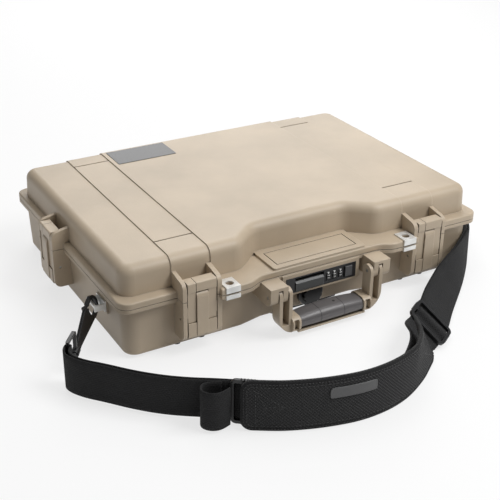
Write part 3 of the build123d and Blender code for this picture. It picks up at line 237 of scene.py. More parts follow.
# ---------------------------------------------------------------- finishes
def start_finish(name, **sockets):
    """A new material with a Principled shader; returns the material, its tree and the shader."""
    material = bpy.data.materials.new(name)
    material.use_nodes = True
    tree = material.node_tree
    shader = tree.nodes["Principled BSDF"]
    for label, value in sockets.items():
        shader.inputs[label.replace("_", " ")].default_value = value
    return material, tree, shader


def moulded_finish(name, colour, wear_highlight_colour, roughness, grain, depth, edge, mottle=0.10, reach=0.005,
                   **sockets):
    """Moulded plastic or rubber: grain, slight mottle, rounded corners lightened partly by wear and partly as
    painted highlight, and painted shade in crevices.
    """
    material, tree, shader = start_finish(name, **sockets)
    edges = place_group(tree, worn_highlit_edges, Radius=edge)
    texture = place_group(tree, moulded_grain, Grain_size=grain)
    shade = spread_value(tree, texture["Mottle"], 0.3, 0.7, 1.0 - mottle, 1.0 + mottle)
    toned = blend_colours(tree, 1.0, (*colour, 1), add_grey(tree, shade), "MULTIPLY")
    # edges lightened towards a paler colour: partly wear, partly painted highlight
    worn_and_highlit = blend_colours(tree, sum_up(tree, "MULTIPLY", edges["Wear and highlight"], 0.55), toned, (*wear_highlight_colour, 1))
    # painted shade: crevices, joints and corners darken towards a dark copy of the colour
    deep = sum_up(tree, "MULTIPLY", place_group(tree, crevice_shade, Reach=reach)["Depth"], 0.93)
    shaded = blend_colours(tree, deep, worn_and_highlit, (*[channel * 0.12 for channel in colour], 1))
    tree.links.new(shaded, shader.inputs["Base Color"])
    rough = spread_value(tree, texture["Height"], 0.2, 0.8, roughness - 0.06, roughness + 0.06)
    tree.links.new(rough, shader.inputs["Roughness"])
    bump = add_node(tree, "ShaderNodeBump", {"Height": texture["Height"], "Distance": depth,
                                             "Normal": edges["Normal"]})
    tree.links.new(bump.outputs[0], shader.inputs["Normal"])
    return material


def add_grey(tree, value):
    """A grey colour from a value."""
    return add_node(tree, "ShaderNodeCombineColor", {0: value, 1: value, 2: value}).outputs[0]


def steel_finish(name, colour, roughness, pitch, depth, edge, metal=1.0):
    """Drawn or brushed steel, its corners lightened: partly wear, partly painted highlight."""
    material, tree, shader = start_finish(name, Metallic=metal)
    edges = place_group(tree, worn_highlit_edges, Radius=edge)
    lines = place_group(tree, brushed_lines, Pitch=pitch)
    shade = spread_value(tree, lines["Streak"], 0.3, 0.7, 0.88, 1.06)
    toned = blend_colours(tree, 1.0, (*colour, 1), add_grey(tree, shade), "MULTIPLY")
    # corners lightened towards pale steel: partly wear, partly painted highlight
    bright = blend_colours(tree, edges["Wear and highlight"], toned, (0.86, 0.86, 0.84, 1))
    tree.links.new(bright, shader.inputs["Base Color"])
    tree.links.new(spread_value(tree, lines["Height"], 0.2, 0.8, roughness - 0.08, roughness + 0.08),
                   shader.inputs["Roughness"])
    bump = add_node(tree, "ShaderNodeBump", {"Height": lines["Height"], "Distance": depth,
                                             "Normal": edges["Normal"]})
    tree.links.new(bump.outputs[0], shader.inputs["Normal"])
    return material


def woven_finish(name, dark, light, along, across, depth, slant=0.0, stagger=0.5, roughness=0.85):
    """Woven cloth on a strip: threads, fuzz and a soft sheen."""
    material, tree, shader = start_finish(name, Sheen_Weight=0.04, Sheen_Roughness=0.45,
                                          Specular_IOR_Level=0.25)
    weave = place_group(tree, cloth_weave, Along=along, Across=across, Slant=slant, Stagger=stagger)
    thread = sum_up(tree, "MULTIPLY", weave["Thread"], spread_value(tree, weave["Fuzz"], 0.3, 0.7, 0.55, 1.0))
    tree.links.new(blend_colours(tree, thread, (*dark, 1), (*light, 1)), shader.inputs["Base Color"])
    tree.links.new(spread_value(tree, weave["Fuzz"], 0.3, 0.7, roughness - 0.08, roughness + 0.08),
                   shader.inputs["Roughness"])
    bump = add_node(tree, "ShaderNodeBump", {"Height": weave["Height"], "Distance": depth})
    tree.links.new(bump.outputs[0], shader.inputs["Normal"])
    return material


# the second colour lightens the edges: partly wear, partly painted highlight
tan, tan_wear_highlight = (0.46, 0.375, 0.275), (0.62, 0.53, 0.42)
finishes = {
    "case_shell": moulded_finish("sand shell", tan, tan_wear_highlight, 0.46, 0.0011, 0.00010, 0.0011),
    "case_shell_trim": moulded_finish("sand trim", tan, tan_wear_highlight, 0.40, 0.0007, 0.00005, 0.0007),
    "black_plastic": moulded_finish("black moulding", (0.012, 0.012, 0.013), (0.05, 0.05, 0.052), 0.34,
                                    0.0008, 0.00004, 0.0006),
    "grip_rubber": moulded_finish("grey grip", (0.115, 0.108, 0.108), (0.19, 0.18, 0.18), 0.36, 0.0009,
                                  0.00005, 0.0008),
    "black_rubber": moulded_finish("black rubber", (0.014, 0.014, 0.014), (0.03, 0.03, 0.03), 0.62, 0.0009,
                                   0.00005, 0.0006),
    "foam": moulded_finish("grey foam", (0.030, 0.030, 0.033), (0.05, 0.05, 0.054), 0.92, 0.0016, 0.0006,
                           0.002, mottle=0.2),
    "label": moulded_finish("label film", (0.010, 0.010, 0.011), (0.06, 0.06, 0.06), 0.30, 0.0006, 0.00002,
                            0.0003),
    "bright_steel": steel_finish("bright steel", (0.84, 0.84, 0.82), 0.40, 0.0005, 0.00002, 0.0004,
                                 metal=0.6),
    "steel_pin": steel_finish("turned pin", (0.50, 0.50, 0.49), 0.34, 0.0005, 0.00002, 0.0003),
    "dial": moulded_finish("dial", (0.016, 0.016, 0.017), (0.07, 0.07, 0.07), 0.28, 0.0006, 0.00002, 0.0004),
    "webbing": woven_finish("webbing", (0.006, 0.006, 0.006), (0.030, 0.030, 0.031), 0.0016, 0.0024, 0.00045),
    "pad_fabric": woven_finish("pad cloth", (0.008, 0.008, 0.008), (0.042, 0.042, 0.043), 0.0040, 0.0040,
                               0.0007, slant=1.0, stagger=0.0),
}
binding_finish = woven_finish("binding tape", (0.006, 0.006, 0.006), (0.024, 0.024, 0.025), 0.0011, 0.0011,
                              0.00020)
thread_finish = moulded_finish("thread", (0.050, 0.050, 0.050), (0.08, 0.08, 0.08), 0.6, 0.0005, 0.00003,
                               0.0002)
badge_finish = moulded_finish("bare badge", (0.075, 0.075, 0.076), (0.16, 0.16, 0.16), 0.42, 0.0006, 0.00003,
                              0.0004)
release_finish = moulded_finish("release plate", (0.040, 0.042, 0.042), (0.20, 0.20, 0.20), 0.38, 0.0007,
                                0.00004, 0.0007)
slide_finish = moulded_finish("slide button", (0.085, 0.085, 0.088), (0.18, 0.18, 0.18), 0.42, 0.0007,
                              0.00004, 0.0006)
number_finish = moulded_finish("number paint", (0.72, 0.72, 0.70), (0.72, 0.72, 0.70), 0.5, 0.0006, 0.00001,
                               0.0001)

slot_of = {part["node"]: part["material_slot"] for part in frame["record"]["subparts"]}
for node_name, node in frame["nodes"].items():
    node.data.materials.clear()
    node.data.materials.append({"lock_release": release_finish, "lock_slide": slide_finish}.get(
        node_name, finishes[slot_of[node_name]]))


# ---------------------------------------------------------------- piece helpers
def make_piece(name, mesh, body, slot, material=None, smooth=True):
    """Links a mesh as a piece that rides on a body and takes its finish from a slot."""
    piece = bpy.data.objects.new(name, mesh)
    bpy.context.scene.collection.objects.link(piece)
    mesh.materials.append(material or finishes[slot])
    mesh.polygons.foreach_set("use_smooth", [smooth] * len(mesh.polygons))
    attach(piece, body)
    return piece


def mesh_from(name, points, faces, places=None):
    """A mesh, with the strip's own length and width as its UV map where places are given."""
    mesh = bpy.data.meshes.new(name)
    mesh.from_pydata(points, [], faces)
    if places:
        layer = mesh.uv_layers.new(name="strip")
        for loop in mesh.loops:
            layer.data[loop.index].uv = places[loop.vertex_index]
    mesh.validate()
    return mesh


def soften(piece, width, segments=2, angle=40):
    """Rounds a piece's sharp edges."""
    bevel = piece.modifiers.new("rounded", "BEVEL")
    bevel.width = width
    bevel.segments = segments
    bevel.limit_method = "ANGLE"
    bevel.angle_limit = radians(angle)


def ring_faces(rings, around, closed=True, ends=True):
    """Faces that join rings of points, one after another."""
    faces = []
    for ring in range(rings - 1):
        for step in range(around if closed else around - 1):
            after = (step + 1) % around
            faces.append((ring * around + step, ring * around + after,
                          (ring + 1) * around + after, (ring + 1) * around + step))
    if ends:
        faces.append(tuple(range(around))[::-1])
        faces.append(tuple((rings - 1) * around + step for step in range(around)))
    return faces


def sheet_faces(columns, rows, face_down=False):
    """Faces of a closed sheet: a grid of points for its front, one for its back, joined at the border."""
    row_count, half = rows + 1, (columns + 1) * (rows + 1)
    faces = []
    for column in range(columns):
        for row in range(rows):
            low = column * row_count + row
            face = (low, low + row_count, low + row_count + 1, low + 1)
            if face_down:
                face = (low, low + 1, low + row_count + 1, low + row_count)
            faces += [face, tuple(half + index for index in face[::-1])]
    border = [column * row_count for column in range(columns)]
    border += [columns * row_count + row for row in range(rows)]
    border += [(columns - column) * row_count + rows for column in range(columns)]
    border += [rows - row for row in range(rows)]
    for here, after in zip(border, border[1:] + border[:1]):
        side = (here, after, after + half, here + half)
        faces.append(side if face_down else (after, here, here + half, after + half))
    return faces


# ---------------------------------------------------------------- strap routes
webbing_width = 48.0 * MM
webbing_thickness = 2.0 * MM
webbing_low = 3.8 * MM
layer_pitch = 3.2 * MM
wrap_radius = 3.2 * MM          # middle of the webbing round a loop's bar
left_bar = Vector((-327, -185, 0)) * MM
right_bar = Vector((327, -37, 0)) * MM
left_away = Vector((-15, -19, 0)).normalized()
right_away = Vector((19, -15, 0)).normalized()


def metres(route):
    """A route in millimetres as points in metres."""
    return [Vector((x * MM, y * MM, 0)) for x, y in route]


strap_route = metres([
    (-335.52, -190.63), (-334.8, -204.0), (-324.5, -222.0), (-308.0, -240.0), (-287.0, -266.0),
    (-262.0, -291.0),
    (-233.0, -312.0), (-204.0, -329.0), (-172.0, -353.0), (-143.0, -372.0), (-107.0, -387.6), (-66.0, -395.0),
    (-22.0, -389.0), (22.2, -367.2), (49.5, -347.1), (64.7, -334.4), (79.5, -330.8), (116.5, -307.3),
    (148.0, -277.0), (186.0, -245.0), (224.0, -211.0), (266.0, -168.5), (286.0, -142.0), (299.0, -110.0),
    (306.0, -87.0), (319.0, -71.0), (332.0, -57.0), (339.97, -43.16)])
strap_lean = {0: 0, 12: 0, 13: 14, 14: 28, 15: 45, 16: 52, 17: 52, 18: 48, 19: 38, 20: 16, 21: 2, 22: 4,
              23: 2, 24: 0, 28: 0}
return_left_route = metres([
    (-193.0, -333.2), (-213.0, -319.3), (-234.5, -306.2), (-259.5, -287.2), (-284.2, -262.7),
    (-304.9, -237.0),
    (-321.2, -219.9), (-331.0, -202.8), (-328.4, -192.0)])
return_right_route = metres([(316.6, -68.9), (329.4, -55.1), (332.08, -45.09)])
tail_route = metres([(-210.6, -327.8), (-221.1, -321.6), (-232.6, -321.7), (-237.5, -332.0), (-231.0, -342.0),
                     (-219.0, -345.5), (-208.0, -341.0)])
pad_route = metres([(-200.4, -349.4), (-178.5, -363.4), (-155.6, -376.3), (-115.2, -391.1), (-69.9, -400.0),
                    (-19.2, -394.2), (25.5, -372.4), (53.2, -352.2), (69.2, -340.6)])
pad_lean = {0: 0, 5.5: 0, 6: 6, 7: 18, 8: 30}


def wrap_points(bar, away):
    """Points that take the webbing round a loop's bar, from its inner side to its outer side."""
    beside = Vector((-away.y, away.x, 0))
    return [bar + (beside - away) * wrap_radius, bar - (beside + away) * wrap_radius]


def bar_sides(bar, away):
    """Where the webbing meets the turn round a bar: its left side and its right side."""
    beside = Vector((-away.y, away.x, 0))
    return bar + beside * wrap_radius, bar - beside * wrap_radius


def smooth_line(route, steps=10):
    """Points along a route's smooth line, each with its place in the route's list."""
    curve = bpy.data.curves.new("line", "CURVE")
    curve.dimensions = "3D"
    spline = curve.splines.new("NURBS")
    spline.points.add(len(route) - 1)
    for point, place in zip(spline.points, route):
        point.co = (*place, 1)
    spline.order_u = 3
    spline.use_endpoint_u = True
    spline.resolution_u = steps
    holder = bpy.data.objects.new("line", curve)
    mesh = bpy.data.meshes.new_from_object(holder)
    points = [vertex.co.copy() for vertex in mesh.vertices]
    bpy.data.objects.remove(holder)
    bpy.data.curves.remove(curve)
    bpy.data.meshes.remove(mesh)
    spans = len(route) - 2
    line = []
    for index, point in enumerate(points):
        along = spans * index / (len(points) - 1)
        place = 1.5 * along if along < 1 else along + 0.5
        if along > spans - 1:
            place = len(route) - 1 - 1.5 * (spans - along)
        line.append((point, place))
    return line


def lean_at(table, place):
    """A lean at any place of a route, from the few that are given."""
    low = max((point for point in table if point <= place), default=min(table))
    high = min((point for point in table if point >= place), default=max(table))
    share = 0 if high == low else (place - low) / (high - low)
    return radians(table[low] + share * (table[high] - table[low]))


class Strip:
    """A strip that stands on its lower edge along a route and leans to the left of its run."""

    def __init__(self, route, leans=None, first=0, steps=10, low=webbing_low, shift=0.0):
        line = smooth_line(route, steps)
        self.frames = []
        distance = 0.0
        for index, (point, place) in enumerate(line):
            before, after = line[max(index - 1, 0)][0], line[min(index + 1, len(line) - 1)][0]
            ahead = (after - before).normalized()
            lean = lean_at(leans, first + place) if leans else 0.0
            leftward = Vector((-ahead.y, ahead.x, 0))
            across = leftward * sin(lean) + UP * cos(lean)
            outward = ahead.cross(across)
            if index:
                distance += (point - line[index - 1][0]).length
            self.frames.append((distance, Vector((point.x, point.y, low)) + outward * shift, across, outward))
        self.length = distance

    def spot(self, along, across, out=0.0):
        """The point at a distance along the strip, up across it and out from its middle."""
        along = min(max(along, 0.0), self.length)
        high = next((i for i, item in enumerate(self.frames) if item[0] >= along), len(self.frames) - 1)
        low = max(high - 1, 0)
        span = self.frames[high][0] - self.frames[low][0]
        share = (along - self.frames[low][0]) / span if span else 0.0
        parts = [self.frames[low][i].lerp(self.frames[high][i], share) for i in (1, 2, 3)]
        return parts[0] + parts[1].normalized() * across + parts[2].normalized() * out

    def centre_line(self, width):
        """Points along the strip's middle."""
        return [base + across * width / 2 for _, base, across, _ in self.frames]


def webbing_mesh(name, strip, width=webbing_width, thickness=webbing_thickness, ripple=0.0):
    """Webbing along a strip, with full woven edges."""
    rows = 9
    edge = thickness * 0.30
    section = [(edge + (width - 2 * edge) * step / (rows - 1), thickness / 2) for step in range(rows)]
    section += [(width, 0.0)] + [(across, -out) for across, out in section[::-1]] + [(0.0, 0.0)]
    points, places = [], []
    for distance, base, across, outward in strip.frames:
        for height, out in section:
            wave = ripple * sin(distance * 61.0 + height * 40.0) * sin(pi * height / width)
            points.append(base + across * height + outward * (out + wave))
            places.append((distance, height))
    return mesh_from(name, points, ring_faces(len(strip.frames), len(section)), places)


# ---------------------------------------------------------------- webbing
left_sides, right_sides = bar_sides(left_bar, left_away), bar_sides(right_bar, right_away)

main_route = [left_sides[1], *strap_route, right_sides[0]]
main_strip = Strip(main_route, {place + 1: lean for place, lean in strap_lean.items()}, steps=12)
strap = make_piece("shoulder_strap_webbing", webbing_mesh("shoulder_strap_webbing", main_strip), "case",
                   "webbing")
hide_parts("strap_front", "strap_back")

left_wrap = wrap_points(left_bar, left_away)
left_return_strip = Strip([*return_left_route, left_sides[0], *left_wrap, left_sides[1]], steps=12)
left_return = make_piece("strap_return_webbing_left", webbing_mesh("strap_return_left", left_return_strip),
                         "case", "webbing")
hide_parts("strap_return_left")

# the right return lies behind the main webbing, one layer in, then goes round its loop
inner_strip = Strip(strap_route[16:25], strap_lean, first=16, steps=12, shift=-layer_pitch)
right_inner = make_piece("strap_return_webbing_right", webbing_mesh("strap_return_right", inner_strip),
                         "case", "webbing")
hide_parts("strap_return_right")
last_run = (strap_route[24] - strap_route[23]).normalized()
inner_end = strap_route[24] + Vector((-last_run.y, last_run.x, 0)) * layer_pitch
right_turn = wrap_points(right_bar, right_away)[::-1]
right_wrap_strip = Strip([inner_end, *return_right_route, right_sides[1], *right_turn, right_sides[0]],
                         steps=12)
right_wrap = make_piece("strap_wrap_webbing_right", webbing_mesh("strap_wrap_right", right_wrap_strip),
                        "case", "webbing")

tail_strip = Strip(tail_route, steps=12)
tail = make_piece("strap_tail_webbing", webbing_mesh("strap_tail", tail_strip), "case", "webbing")
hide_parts("strap_tail")

# ---------------------------------------------------------------- shoulder pad
pad_width = 63.0 * MM
pad_thickness = 6.0 * MM
pad_low = 0.4 * MM
pad_corner = 13.0 * MM
binding_width = 5.0 * MM
pad_edge_half = 1.3 * MM         # half the pad's thickness at its border
pad_swell_reach = 12.0 * MM      # from the border to the full thickness
pad_strip = Strip(pad_route, pad_lean, steps=14, low=pad_low)


def pad_limits(along):
    """Lowest and highest points across the pad at a distance along it, its corners rounded."""
    near = min(along, pad_strip.length - along)
    if near >= pad_corner:
        return 0.0, pad_width
    cut = pad_corner - sqrt(max(pad_corner ** 2 - (pad_corner - near) ** 2, 0.0))
    return cut, pad_width - cut


def pad_outline(inset):
    """Closed outline of the pad, as distances along and across it, moved in from the edge."""
    radius = pad_corner - inset
    spots = []
    length = pad_strip.length
    for corner_along, corner_across, start in ((length - pad_corner, pad_width - pad_corner, 0),
                                               (pad_corner, pad_width - pad_corner, 90),
                                               (pad_corner, pad_corner, 180),
                                               (length - pad_corner, pad_corner, 270)):
        for step in range(7):
            turn = radians(start + 15 * step)
            spots.append(Vector((corner_along + radius * cos(turn), corner_across + radius * sin(turn))))
    dense = []
    for spot, after in zip(spots, spots[1:] + spots[:1]):
        count = max(1, ceil((after - spot).length / 0.004))
        dense += [spot.lerp(after, step / count) for step in range(count)]
    return dense


def pad_mesh():
    """The pad's padded body: two faces that swell between their bound edges."""
    columns, rows = 150, 26
    length = pad_strip.length
    points, places = [], []
    for side in (1, -1):
        for column in range(columns + 1):
            share = (1 - cos(pi * column / columns)) / 2 * 0.35 + column / columns * 0.65
            along = length * share
            low, high = pad_limits(along)
            for row in range(rows + 1):
                across = low + (high - low) * row / rows
                edge = min(along, length - along, across - low, high - across)
                swell = min(edge / pad_swell_reach, 1.0)
                swell = sin(swell * pi / 2)
                lump = 0.25 * MM * sin(along * 95 + 1.3) * sin(across * 130 + along * 21)
                out = pad_edge_half + (pad_thickness / 2 - pad_edge_half) * swell + lump * swell
                points.append(pad_strip.spot(along, across, side * out))
                places.append((along, across))
    return mesh_from("pad", points, sheet_faces(columns, rows), places)


def binding_mesh():
    """Tape folded over the pad's border."""
    section = [(binding_width, 2.1), (binding_width - 0.4 * MM, 2.35), (1.6 * MM, 2.2), (0.3 * MM, 1.6),
               (-0.3 * MM, 0.0), (0.3 * MM, -1.6), (1.6 * MM, -2.2), (binding_width - 0.4 * MM, -2.35),
               (binding_width, -2.1)]
    outline = pad_outline(0.0)
    points, places = [], []
    travelled = 0.0
    for index, spot in enumerate(outline):
        before, after = outline[index - 1], outline[(index + 1) % len(outline)]
        ahead = (after - before).normalized()
        inward = Vector((-ahead.y, ahead.x))
        travelled += (spot - before).length if index else 0.0
        for inset, out in section:
            place = spot + inward * max(inset, 0.0)
            points.append(pad_strip.spot(place.x, place.y, out * MM))
            places.append((travelled, inset))
    faces = ring_faces(len(outline), len(section), closed=False, ends=False)
    around = len(section)
    last = (len(outline) - 1) * around
    faces += [(last + step, last + step + 1, step + 1, step) for step in range(around - 1)]
    faces += [(around * index, around * index + around - 1,
               around * ((index + 1) % len(outline)) + around - 1, around * ((index + 1) % len(outline)))
              for index in range(len(outline))]
    return mesh_from("binding", points, faces, places)


def stitch_mesh(name, line, place, pitch=4.2 * MM, length=2.9 * MM, radius=0.38 * MM):
    """A row of stitches along a line of flat spots; place(spot, out) puts a spot on the cloth."""
    points, faces = [], []
    travelled, next_start = 0.0, 0.0
    for here, after in zip(line, line[1:]):
        run = (after - here).length
        while next_start <= travelled + run - 1e-9:
            start = here.lerp(after, max(0.0, (next_start - travelled) / run))
            ahead = (after - here).normalized()
            beside = Vector((-ahead.y, ahead.x))
            base = len(points)
            for along, size in ((0.0, 0.35), (0.2, 0.9), (0.8, 0.9), (1.0, 0.35)):
                for turn in range(6):
                    angle = turn * pi / 3
                    spot = start + ahead * (length * along) + beside * (cos(angle) * radius * size)
                    points.append(place(spot, sin(angle) * radius * size))
            faces += [tuple(base + index for index in face) for face in ring_faces(4, 6)]
            next_start += pitch
        travelled += run
    return mesh_from(name, points, faces)


def on_pad(side, lift):
    """A function that puts a flat spot on the pad's outer (1) or inner (-1) face."""
    def place(spot, out):
        low, high = pad_limits(spot.x)
        edge = max(min(spot.x, pad_strip.length - spot.x, spot.y - low, high - spot.y), 0.0)
        swell = sin(min(edge / pad_swell_reach, 1.0) * pi / 2)
        rest = pad_edge_half + (pad_thickness / 2 - pad_edge_half) * swell
        return pad_strip.spot(spot.x, spot.y, side * (rest + lift) + out)
    return place


pad = make_piece("shoulder_pad_cloth", pad_mesh(), "case", "pad_fabric")
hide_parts("shoulder_pad")
make_piece("shoulder_pad_binding", binding_mesh(), "case", "pad_fabric", binding_finish)

closed_line = pad_outline(7.2 * MM)
closed_line.append(closed_line[0])
make_piece("shoulder_pad_stitching", stitch_mesh("border stitches", closed_line, on_pad(1, 0.12 * MM)),
           "case", "pad_fabric", thread_finish)
tape_line = pad_outline(3.4 * MM)
tape_line.append(tape_line[0])
make_piece("binding_stitching",
           stitch_mesh("tape stitches", tape_line, on_pad(1, 0.85 * MM), 3.4 * MM, 2.3 * MM, 0.3 * MM),
           "case", "pad_fabric", thread_finish)


def arrow_line(base, tip, low_across, high_across):
    """A sewn triangle with its lines to the middle, as one line of spots."""
    middle = (low_across + high_across) / 2
    inner = base + (tip - base) * 0.36
    corners = [(base, low_across), (tip, middle), (base, high_across), (base, low_across), (inner, middle),
               (base, high_across), (inner, middle), (tip, middle)]
    return [Vector(corner) for corner in corners]


for label, base, tip in (("left", 16 * MM, 46 * MM),
                         ("right", pad_strip.length - 16 * MM, pad_strip.length - 46 * MM)):
    make_piece(f"pad_arrow_stitching_{label}",
               stitch_mesh("arrow stitches", arrow_line(base, tip, 12 * MM, 51 * MM), on_pad(1, 0.12 * MM)),
               "case", "pad_fabric", thread_finish)

# bare badge sewn to the pad's face
badge_from, badge_to = 94.0 * MM, 148.0 * MM
badge_low, badge_high = 38.0 * MM, 51.0 * MM
badge_radius = 3.0 * MM


def badge_mesh():
    """A plain thin plate with rounded corners, a raised rim and a face that sinks a little inside it."""
    columns, rows = 90, 24
    place = on_pad(1, 0.0)
    points, places = [], []
    for side in (1, 0):
        for column in range(columns + 1):
            along = badge_from + (badge_to - badge_from) * column / columns
            near = min(along - badge_from, badge_to - along)
            cut = 0.0
            if near < badge_radius:
                cut = badge_radius - sqrt(max(badge_radius ** 2 - (badge_radius - near) ** 2, 0.0))
            for row in range(rows + 1):
                across = badge_low + cut + (badge_high - badge_low - 2 * cut) * row / rows
                edge = min(near, across - badge_low - cut, badge_high - cut - across) / MM
                rim = min(edge / 0.5, 1.0) - 0.45 * min(max((edge - 1.2) / 0.5, 0.0), 1.0)
                lift = 0.75 + 0.45 * rim if side else -0.6
                points.append(place(Vector((along, across)), lift * MM))
                places.append((along, across))
    return mesh_from("badge", points, sheet_faces(columns, rows), places)


badge = make_piece("pad_badge_bare", badge_mesh(), "case", "pad_fabric", badge_finish)
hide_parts("pad_patch")

# ---------------------------------------------------------------- webbing through the sliders
fold_profile = [(-13.6, 2.1), (-9.0, 2.15), (-6.6, 2.9), (-5.2, 4.6), (-3.9, 6.3), (-2.0, 7.05), (0.0, 7.2),
                (2.0, 7.05), (3.9, 6.3), (5.2, 4.6), (6.6, 2.9), (9.0, 2.15), (13.6, 2.1)]
fold_low, fold_width = 1.4, 45.2    # the fold lies inside the slider's windows


def slider_place(slider):
    """How far along the main webbing a slider sits, and on which face of it."""
    points = [slider.matrix_world @ vertex.co for vertex in slider.data.vertices]
    low = Vector([min(point[axis] for point in points) for axis in range(3)])
    high = Vector([max(point[axis] for point in points) for axis in range(3)])
    middle = (low + high) / 2
    along, base, across, outward = min(
        main_strip.frames, key=lambda item: (item[1] + item[2] * webbing_width / 2 - middle).length)
    away = middle - base - across * webbing_width / 2
    return along + away.dot(across.cross(outward)), 1 if away.dot(outward) > 0 else -1


def fold_mesh(name, slider):
    """Webbing that comes up through one window of a slider, over its middle bar and down the other."""
    middle, side = slider_place(slider)
    rows, half_sheet = 10, 0.95
    points, places = [], []
    for index, (along, out) in enumerate(fold_profile):
        before, after = fold_profile[max(index - 1, 0)], fold_profile[min(index + 1, len(fold_profile) - 1)]
        run = Vector((after[0] - before[0], after[1] - before[1])).normalized()
        for face in (1, -1):
            for row in range(rows) if face == 1 else reversed(range(rows)):
                across = (fold_low + fold_width * row / (rows - 1)) * MM
                points.append(main_strip.spot(middle + (along - run.y * half_sheet * face) * MM, across,
                                              side * (out + run.x * half_sheet * face) * MM))
                places.append((along * MM, across))
    return mesh_from(name, points, ring_faces(len(fold_profile), 2 * rows), places)


for slider_name in ("strap_slider_left", "strap_slider_right"):
    fold = make_piece(f"{slider_name}_webbing", fold_mesh(slider_name, frame["nodes"][slider_name]), "case",
                      "webbing")
    soften(fold, 0.3 * MM)

# ---------------------------------------------------------------- seams and vent of the grip
grip = frame["nodes"]["handle_grip"]
grip_surface = BVHTree.FromPolygons([grip.matrix_world @ vertex.co for vertex in grip.data.vertices],
                                    [tuple(face.vertices) for face in grip.data.polygons])
grip_axis = Vector((0, -212.5, 20.0)) * MM


def seam_mesh(name, middle):
    """A hairline raised along the mould's joint, round the grip at one place."""
    around = 64
    points = []
    for shift, lift in ((-0.45, -0.10), (-0.22, 0.16), (0.22, 0.16), (0.45, -0.10)):
        for step in range(around):
            turn = 2 * pi * step / around
            out = Vector((0, cos(turn), sin(turn)))
            start = grip_axis + Vector(((middle + shift) * MM, 0, 0))
            hit = grip_surface.ray_cast(start + out * 40 * MM, -out)[0]
            points.append(hit + out * lift * MM)
    return mesh_from(name, points, ring_faces(4, around, ends=False))


def vent_mesh(name, middle, depth):
    """A small black disc with a raised rim on top of the grip, standing for a vent hole: its black face is
    painted shade.
    """
    around = 24
    points = []
    for reach, lift in ((1.9, -0.10), (1.75, 0.22), (1.45, 0.22), (1.25, 0.04), (0.5, 0.04)):
        for step in range(around):
            turn = 2 * pi * step / around
            start = Vector((middle + reach * cos(turn), depth + reach * sin(turn), 60.0)) * MM
            hit = grip_surface.ray_cast(start, Vector((0, 0, -1)))[0]
            points.append(hit + Vector((0, 0, lift * MM)))
    return mesh_from(name, points, ring_faces(5, around))


for label, middle in (("left", -17.0), ("right", 17.0)):
    make_piece(f"grip_seam_{label}", seam_mesh("seam", middle), "handle", "grip_rubber",
               finishes["black_rubber"])
# the vent's black face is painted shade standing for the inside of the hole
make_piece("grip_vent", vent_mesh("vent", 9.0, -213.0), "handle", "grip_rubber", finishes["black_rubber"])

# ---------------------------------------------------------------- numbers on the dials
dial_places = {"dial_1": 9.6, "dial_2": 18.5, "dial_3": 27.4}
dial_axis = Vector((-191.0, 57.2))
dial_radius = 9.0
number_size = Vector((2.6, 3.6))
number_strokes = {
    0: [[(0, 0), (1, 0), (1, 1), (0, 1), (0, 0)]],
    1: [[(0.2, 0.75), (0.55, 1), (0.55, 0)]],
    2: [[(0, 0.85), (0.3, 1), (0.8, 1), (1, 0.75), (0, 0), (1, 0)]],
    3: [[(0, 1), (1, 1), (0.45, 0.58), (1, 0.4), (0.9, 0.08), (0.4, 0), (0, 0.15)]],
    4: [[(0.75, 0), (0.75, 1), (0, 0.32), (1, 0.32)]],
    5: [[(1, 1), (0.1, 1), (0, 0.58), (0.7, 0.62), (1, 0.35), (0.7, 0), (0, 0.08)]],
    6: [[(0.8, 1), (0.2, 0.7), (0, 0.3), (0.3, 0), (0.8, 0), (1, 0.3), (0.8, 0.55), (0.1, 0.5)]],
    7: [[(0, 1), (1, 1), (0.4, 0)]],
    8: [[(0.5, 0.54), (0.1, 0.78), (0.3, 1), (0.7, 1), (0.9, 0.78), (0.5, 0.54), (0, 0.26), (0.25, 0),
         (0.75, 0), (1, 0.26), (0.5, 0.54)]],
    9: [[(0.2, 0), (0.8, 0.3), (1, 0.7), (0.7, 1), (0.2, 1), (0, 0.7), (0.2, 0.45), (0.9, 0.5)]],
}


def numbers_mesh(name, centre_x):
    """The ten painted numbers round one dial, each stroke bent to the dial's face."""
    half_stroke = 0.36
    points, faces = [], []
    for number, lines in number_strokes.items():
        middle = pi + radians(36 * number)
        for line in lines:
            spots = [Vector(((x - 0.5) * number_size.x, (y - 0.5) * number_size.y)) for x, y in line]
            for here, after in zip(spots, spots[1:]):
                ahead = (after - here).normalized()
                beside = Vector((-ahead.y, ahead.x)) * half_stroke
                start, end = here - ahead * half_stroke * 0.6, after + ahead * half_stroke * 0.6
                base = len(points)
                for lift in (-0.06, 0.10):
                    for corner in (start - beside, end - beside, end + beside, start + beside):
                        turn = middle - corner.y / dial_radius
                        reach = dial_radius + lift
                        points.append(Vector((centre_x + corner.x, dial_axis.x + reach * cos(turn),
                                              dial_axis.y + reach * sin(turn))) * MM)
                faces += [(base, base + 3, base + 2, base + 1), (base + 4, base + 5, base + 6, base + 7)]
                faces += [(base + step, base + (step + 1) % 4, base + 4 + (step + 1) % 4, base + 4 + step)
                          for step in range(4)]
    return mesh_from(name, points, faces)


for dial_name, centre_x in dial_places.items():
    make_piece(f"{dial_name}_numbers", numbers_mesh(f"{dial_name}_numbers", centre_x), dial_name, "dial",
               number_finish, smooth=False)


# ---------------------------------------------------------------- foam
def rounded_outline(corners, radius):
    """A closed outline through corners, in millimetres, each rounded by one radius."""
    outline = []
    count = len(corners)
    for index, corner in enumerate(corners):
        here = Vector(corner)
        inward = (here - Vector(corners[index - 1])).normalized()
        outward = (Vector(corners[(index + 1) % count]) - here).normalized()
        for step in range(7):
            share = step / 6
            start, end = here - inward * radius, here + outward * radius
            outline.append(start.lerp(here, share).lerp(here.lerp(end, share), share))
    return outline


